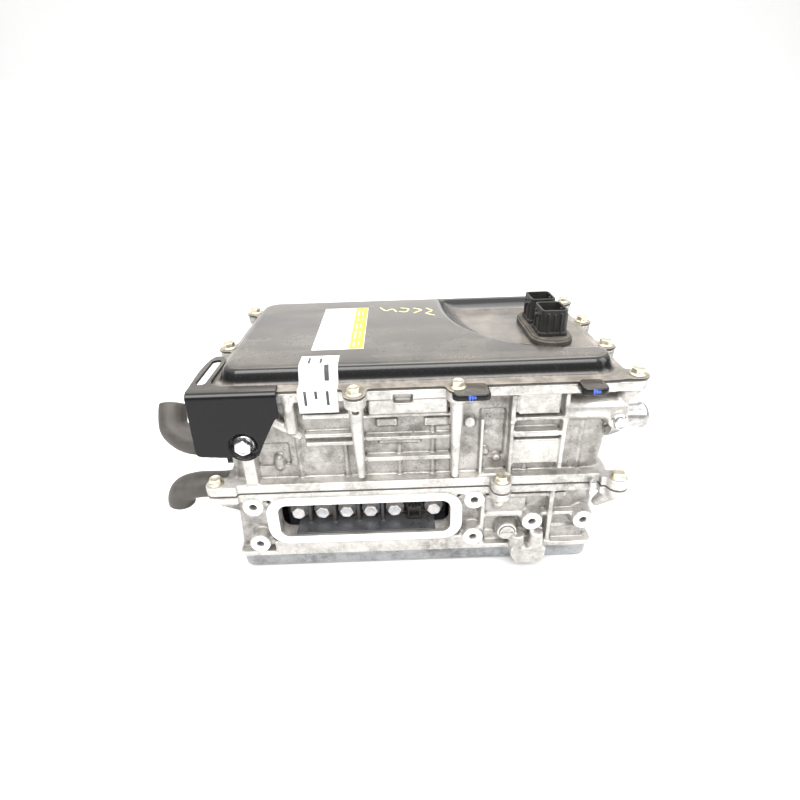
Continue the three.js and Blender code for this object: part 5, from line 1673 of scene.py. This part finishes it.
@dataclass
class Labels:
    """Blank labels, the sticker that runs over the front edge, and paint marks."""

    palette: Palette
    cover: Cover

    def patch(self, name: str, x0: float, x1: float, y0: float, y1: float, lift: float,
              finish: bpy.types.Material, thickness: float = 0.12) -> bpy.types.Object:
        """Builds a thin patch that follows the cover.

        Args:
            name: The object's name.
            x0: Left side.
            x1: Right side.
            y0: Front side.
            y1: Back side.
            lift: Height of its top over the cover.
            finish: The material.
            thickness: Its thickness.

        Returns:
            The patch.
        """
        across = max(2, math.ceil((x1 - x0) / 3))
        deep = max(2, math.ceil((y1 - y0) / 3))
        top = []
        for j in range(deep + 1):
            for i in range(across + 1):
                x, y = x0 + (x1 - x0) * i / across, y0 + (y1 - y0) * j / deep
                top.append((x, y, self.cover.surface(x, y) + lift))
        return self.sheet(name, top, across, deep, (0, 0, -thickness), finish)

    def sheet(self, name: str, top: Ring, across: int, deep: int, down: Point,
              finish: bpy.types.Material) -> bpy.types.Object:
        """Closes a grid of points into a thin sheet.

        Args:
            name: The object's name.
            top: Grid points, row by row.
            across: Cells in a row.
            deep: Rows of cells.
            down: Offset from the outer face to the inner one.
            finish: The material.

        Returns:
            The sheet.
        """
        n = len(top)
        points = top + [(x + down[0], y + down[1], z + down[2]) for x, y, z in top]
        width = across + 1
        faces = []
        for j in range(deep):
            for i in range(across):
                a = j * width + i
                faces.append((a, a + 1, a + width + 1, a + width))
                faces.append((n + a, n + a + width, n + a + width + 1, n + a + 1))
        edge = [i for i in range(width)]
        edge += [j * width + across for j in range(1, deep + 1)]
        edge += [deep * width + i for i in range(across - 1, -1, -1)]
        edge += [j * width for j in range(deep - 1, 0, -1)]
        for a, b in zip(edge, edge[1:] + edge[:1]):
            faces.append((b, a, n + a, n + b))
        return object_from(name, points, faces, finish)

    def rating_label(self) -> None:
        """Builds the label on the dome: white with a yellow end and rows of plain bars."""
        x0, x1, y0, y1 = -90.0, -43.0, -55.0, 67.0
        publish(self.patch("rating_label", x0, x1, y0, y1, 0.22, self.palette.paper))
        band = self.patch(
            "rating_label_band", x1 - 13, x1 - 0.6, y0 + 0.6, y1 - 0.6, 0.3, self.palette.yellow)
        publish(band)
        bars = []
        for x in (x0 + 2.2, x0 + 19.5, x0 + 32.6):
            bars.append(self.patch("bar", x, x + 0.7, y0 + 2, y1 - 2, 0.28, self.palette.print, 0.1))
        for y, length in ((-49, 13), (-30, 22), (-2, 16), (22, 9), (38, 20)):
            bars.append(self.patch("bar", x1 - 10.4, x1 - 8.6, y, y + length, 0.36, self.palette.print, 0.1))
            bars.append(self.patch("bar", x1 - 6, x1 - 4.6, y + 3, y + length, 0.36, self.palette.print, 0.1))
        publish(joined("rating_label_bars", bars, self.palette.print))

    def front_line(self) -> list[tuple[float, float]]:
        """Gives the path of the sticker over the front edge, as depth and height.

        Returns:
            The points from the dome to the lower end.
        """
        line = [(y, self.cover.surface(-80, y) + 0.3) for y in range(-69, -94, -2)]
        line += [(-94 - 0.5 * i, self.cover.surface(-80, -94 - 0.5 * i) + 0.3) for i in range(1, 12)]
        seat = self.cover.seat
        line += [(-102, seat + 0.25), (-105.5, seat + 0.25), (-107.0, seat + 0.05), (-107.7, seat - 0.8)]
        line += [(-107.75, seat - 3), (-107.7, seat - 8), (-107.6, seat - 14), (-107.5, seat - 21)]
        return line

    def sticker(self) -> None:
        """Builds the white sticker over the front edge, with its plain bars."""
        line = self.front_line()
        x0, x1 = -96.0, -63.0
        across = 8

        def strip(name: str, a: float, b: float, first: int, last: int, lift: float,
                  finish: bpy.types.Material) -> bpy.types.Object:
            """Builds a strip between two sides along a part of the path.

            Args:
                name: The object's name.
                a: Left side.
                b: Right side.
                first: First point of the path.
                last: The point after the last.
                lift: Height over the path.
                finish: The material.

            Returns:
                The strip.
            """
            part = line[first:last]
            top = []
            for k, (y, z) in enumerate(part):
                before, after = part[max(k - 1, 0)], part[min(k + 1, len(part) - 1)]
                dy, dz = after[0] - before[0], after[1] - before[1]
                size = math.hypot(dy, dz)
                ny, nz = dz / size, -dy / size
                for i in range(across + 1):
                    top.append((a + (b - a) * i / across, y + ny * lift, z + nz * lift))
            return self.sheet(name, top, across, len(part) - 1, (0, 0.1, -0.1), finish)

        publish(strip("front_sticker", x0, x1, 0, len(line), 0.0, self.palette.paper))
        end = len(line)
        bars = []
        for a, b, first, last in ((7, 9, 2, 9), (11.5, 19, 3, 5), (17, 19, 4, 9), (21.5, 25.5, 9, 15)):
            bars.append(strip("bar", x0 + a, x0 + b, first, last, 0.08, self.palette.dark_print))
        for a, b, last in ((5, 7.4, end - 1), (14, 16.4, end - 2), (23.5, 25.9, end - 1)):
            bars.append(strip("bar", x0 + a, x0 + b, end - 5, last, 0.08, self.palette.dark_print))
        publish(joined("front_sticker_bars", bars, self.palette.dark_print))

    def stroke(self, name: str, points: list[tuple[float, float]], width: float,
               finish: bpy.types.Material) -> bpy.types.Object:
        """Builds a painted stroke along a path on the cover.

        Args:
            name: The object's name.
            points: Corners of the path, as x and y.
            width: How wide the stroke is.
            finish: The material.

        Returns:
            The stroke.
        """
        fine: list[tuple[float, float]] = []
        for (ax, ay), (bx, by) in zip(points, points[1:]):
            n = max(1, round(math.dist((ax, ay), (bx, by)) / 1.5))
            fine += [(ax + (bx - ax) * i / n, ay + (by - ay) * i / n) for i in range(n)]
        fine.append(points[-1])
        for _ in range(5):
            fine = [fine[0]] + [((a[0] + 2 * b[0] + c[0]) / 4, (a[1] + 2 * b[1] + c[1]) / 4)
                                for a, b, c in zip(fine, fine[1:], fine[2:])] + [fine[-1]]
        top: Ring = []
        for k, (x, y) in enumerate(fine):
            a, b = fine[max(k - 1, 0)], fine[min(k + 1, len(fine) - 1)]
            dx, dy = b[0] - a[0], b[1] - a[1]
            size = math.hypot(dx, dy)
            end = min(k, len(fine) - 1 - k)
            half = width / 2 * (0.55 + 0.45 * min(end / 2, 1)) * (1 + 0.12 * math.sin(k * 1.3))
            for i in range(4):
                offset = half * (1 - 2 * i / 3)
                px, py = x - dy / size * offset, y + dx / size * offset
                top.append((px, py, self.cover.surface(px, py) + 0.22))
        return self.sheet(name, top, 3, len(fine) - 1, (0, 0, -0.15), finish)

    def marks(self) -> None:
        """Builds the yellow strokes on the dome and the blue ones on the tabs."""
        runs = [[(-30, 66), (-24, 52), (-16, 60), (-12, 48)], [(-8, 62), (2, 58), (-2, 46), (-10, 50)],
                [(6, 60), (16, 52), (6, 42)], [(20, 58), (27, 48), (18, 40), (28, 32)]]
        strokes = [self.stroke("stroke", run, 2.1, self.palette.marker) for run in runs]
        publish(joined("yellow_marks", strokes, self.palette.marker))
        z = self.cover.seat - 2.9
        dabs = []
        for x, _, reach in self.cover.tabs:
            y = self.cover.front - reach
            for k in range(3):
                ring = []
                for i in range(26):
                    a = math.tau * i / 26
                    r = 1 + 0.2 * math.sin(3 * a + k)
                    ring.append((x + 2.1 * (k - 1) + r * math.cos(a), z + (2.4 - 0.5 * k) * r * math.sin(a)))
                rings = [[(px, h, pz) for px, pz in ring] for h in (y + 0.35, y - 0.1)]
                dabs.append(loft("dab", rings, self.palette.blue))
        publish(joined("blue_marks", dabs, self.palette.blue))

    def build(self) -> None:
        """Builds every label and mark."""
        self.rating_label()
        self.sticker()
        self.marks()


# ---- studio -------------------------------------------------------------------------------


@dataclass
class Studio:
    """Camera, soft light and a pale sweep."""

    palette: Palette
    eye: Point = (-13.0, -478.7, 384.3)
    pitch: float = 27.57
    yaw: float = 0.16
    roll: float = -1.88
    lens: float = 22.8

    def camera(self) -> None:
        """Sets the camera at the fitted viewing angle."""
        p, y, r = (math.radians(v) for v in (self.pitch, self.yaw, self.roll))
        ahead = Vector((math.sin(y) * math.cos(p), math.cos(y) * math.cos(p), -math.sin(p)))
        right = Vector((math.cos(y), -math.sin(y), 0))
        up = right.cross(ahead)
        u = right * math.cos(r) + up * math.sin(r)
        v = up * math.cos(r) - right * math.sin(r)
        data = bpy.data.cameras.new("camera")
        data.lens = self.lens
        data.sensor_width = 36
        data.clip_start, data.clip_end = 0.02, 20
        obj = bpy.data.objects.new("camera", data)
        turn = Matrix((u, v, -ahead)).transposed().to_4x4()
        obj.matrix_world = Matrix.Translation(Vector(self.eye) * MM) @ turn
        bpy.context.scene.collection.objects.link(obj)
        bpy.context.scene.camera = obj

    def lamp(self, name: str, place: Point, power: float, size: float,
             colour: Point = (1.0, 1.0, 1.0), depth: float | None = None) -> None:
        """Adds a soft lamp aimed at the object.

        Args:
            name: The lamp's name.
            place: Where it stands, in metres.
            power: Watts.
            size: Side length in metres.
            colour: Its colour.
            depth: Its other side on a strip, or None on a square.
        """
        data = bpy.data.lights.new(name, "AREA")
        data.energy = power
        data.shape = "RECTANGLE"
        data.size = size
        data.size_y = depth or size
        data.color = colour
        obj = bpy.data.objects.new(name, data)
        obj.location = place
        aim = Vector((0, 0, 0.12)) - Vector(place)
        obj.rotation_euler = aim.to_track_quat("-Z", "Y").to_euler()
        bpy.context.scene.collection.objects.link(obj)

    def floor(self) -> None:
        """Adds the sweep under and behind the object."""
        rings = []
        profile = [(-1.6, 0.0)] + [(1.2 + 0.8 * math.sin(a), 0.8 - 0.8 * math.cos(a))
                                   for a in (math.radians(9 * i) for i in range(11))] + [(2.0, 2.6)]
        for y, z in profile:
            rings.append([(x * 1000, y * 1000, z * 1000 - 0.2) for x in (-3.0, -1.0, 1.0, 3.0)])
        points = [p for ring in rings for p in ring]
        faces = [(4 * j + i, 4 * j + i + 1, 4 * j + i + 5, 4 * j + i + 4)
                 for j in range(len(rings) - 1) for i in range(3)]
        sweep = object_from("studio_sweep", points, faces, self.palette.floor)

    def sky(self, tree: bpy.types.NodeTree) -> None:
        """Grades the surroundings: bright overhead and behind, dark in front near the horizon.

        Args:
            tree: The world's node tree.
        """
        background = tree.nodes["Background"]
        split = tree.nodes.new("ShaderNodeSeparateXYZ")
        place = tree.nodes.new("ShaderNodeTexCoord")
        tree.links.new(place.outputs["Generated"], split.inputs[0])
        rise = tree.nodes.new("ShaderNodeMapRange")
        back = tree.nodes.new("ShaderNodeMapRange")
        total = tree.nodes.new("ShaderNodeMath")
        total.operation = "ADD"
        grades = ((rise, "Z", (0.05, 0.75, 0.12, 1.25)), (back, "Y", (-0.2, 0.9, 0.0, 0.7)))
        for node, socket, values in grades:
            node.interpolation_type = "SMOOTHSTEP"
            for key, value in zip(("From Min", "From Max", "To Min", "To Max"), values):
                node.inputs[key].default_value = value
            tree.links.new(split.outputs[socket], node.inputs["Value"])
        tree.links.new(rise.outputs[0], total.inputs[0])
        tree.links.new(back.outputs[0], total.inputs[1])
        tree.links.new(total.outputs[0], background.inputs["Strength"])
        background.inputs["Color"].default_value = (1.0, 0.995, 0.985, 1.0)

    def build(self) -> None:
        """Builds the studio."""
        world = bpy.data.worlds.new("studio_world")
        bpy.context.scene.world = world
        world.use_nodes = True
        self.sky(world.node_tree)
        bpy.context.scene.view_settings.view_transform = "Standard"
        self.floor()
        self.lamp("key", (-0.1, -1.05, 1.25), 24, 1.9, (1.0, 0.995, 0.985), 0.75)
        self.lamp("side", (1.3, -0.5, 0.9), 6, 0.8, (0.98, 0.99, 1.0))
        self.lamp("top", (0.1, 0.4, 1.8), 16, 1.4)


# ---- assembly -----------------------------------------------------------------------------


def dress_carried_nodes(palette: Palette) -> None:
    """Gives the CAD nodes that stay in view their procedural finish.

    Args:
        palette: Every finish.
    """
    finishes = {
        "bottom_cover_gasket": palette.seal, "parting_gasket": palette.seal,
        "top_cover_gasket": palette.seal, "cold_plate": palette.cleaner_less_shaded_cast,
        "power_module": palette.resin, "smoothing_capacitor": palette.resin,
        "dc_busbar": palette.copper, "current_sensor": palette.resin,
        "control_board": palette.board, "reactor": palette.core,
        "transformer": palette.core, "converter_board": palette.board,
    }
    for node, finish in finishes.items():
        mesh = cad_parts[node].data
        mesh.materials.clear()
        mesh.materials.append(finish)


def main() -> None:
    """Builds the unit piece by piece."""
    logging.basicConfig(level=logging.INFO, format="%(name)s %(message)s")
    palette = Palette()
    studio = Studio(palette)
    studio.camera()
    studio.build()
    dress_carried_nodes(palette)
    cover = Cover(palette)
    cover.build()
    Castings(palette).build()
    Fasteners(palette).build()
    Fittings(palette).build()
    Hose(palette, "coolant_hose_upper", "hose_clamp_upper", (
        (0, 0, 118), (-24, 0, 118), (-48, 0.5, 121), (-62, 6, 131), (-65, 16, 143), (-65, 22, 150))).build()
    Hose(palette, "coolant_hose_lower", "hose_clamp_lower", (
        (0, 0, 66), (-24, 0, 66), (-50, 0, 66), (-65, 0, 61), (-71, 0, 51), (-72, 0, 44))).build()
    Terminals(palette).build()
    Headers(palette).build()
    Labels(palette, cover).build()


if __name__ == "__main__":
    main()
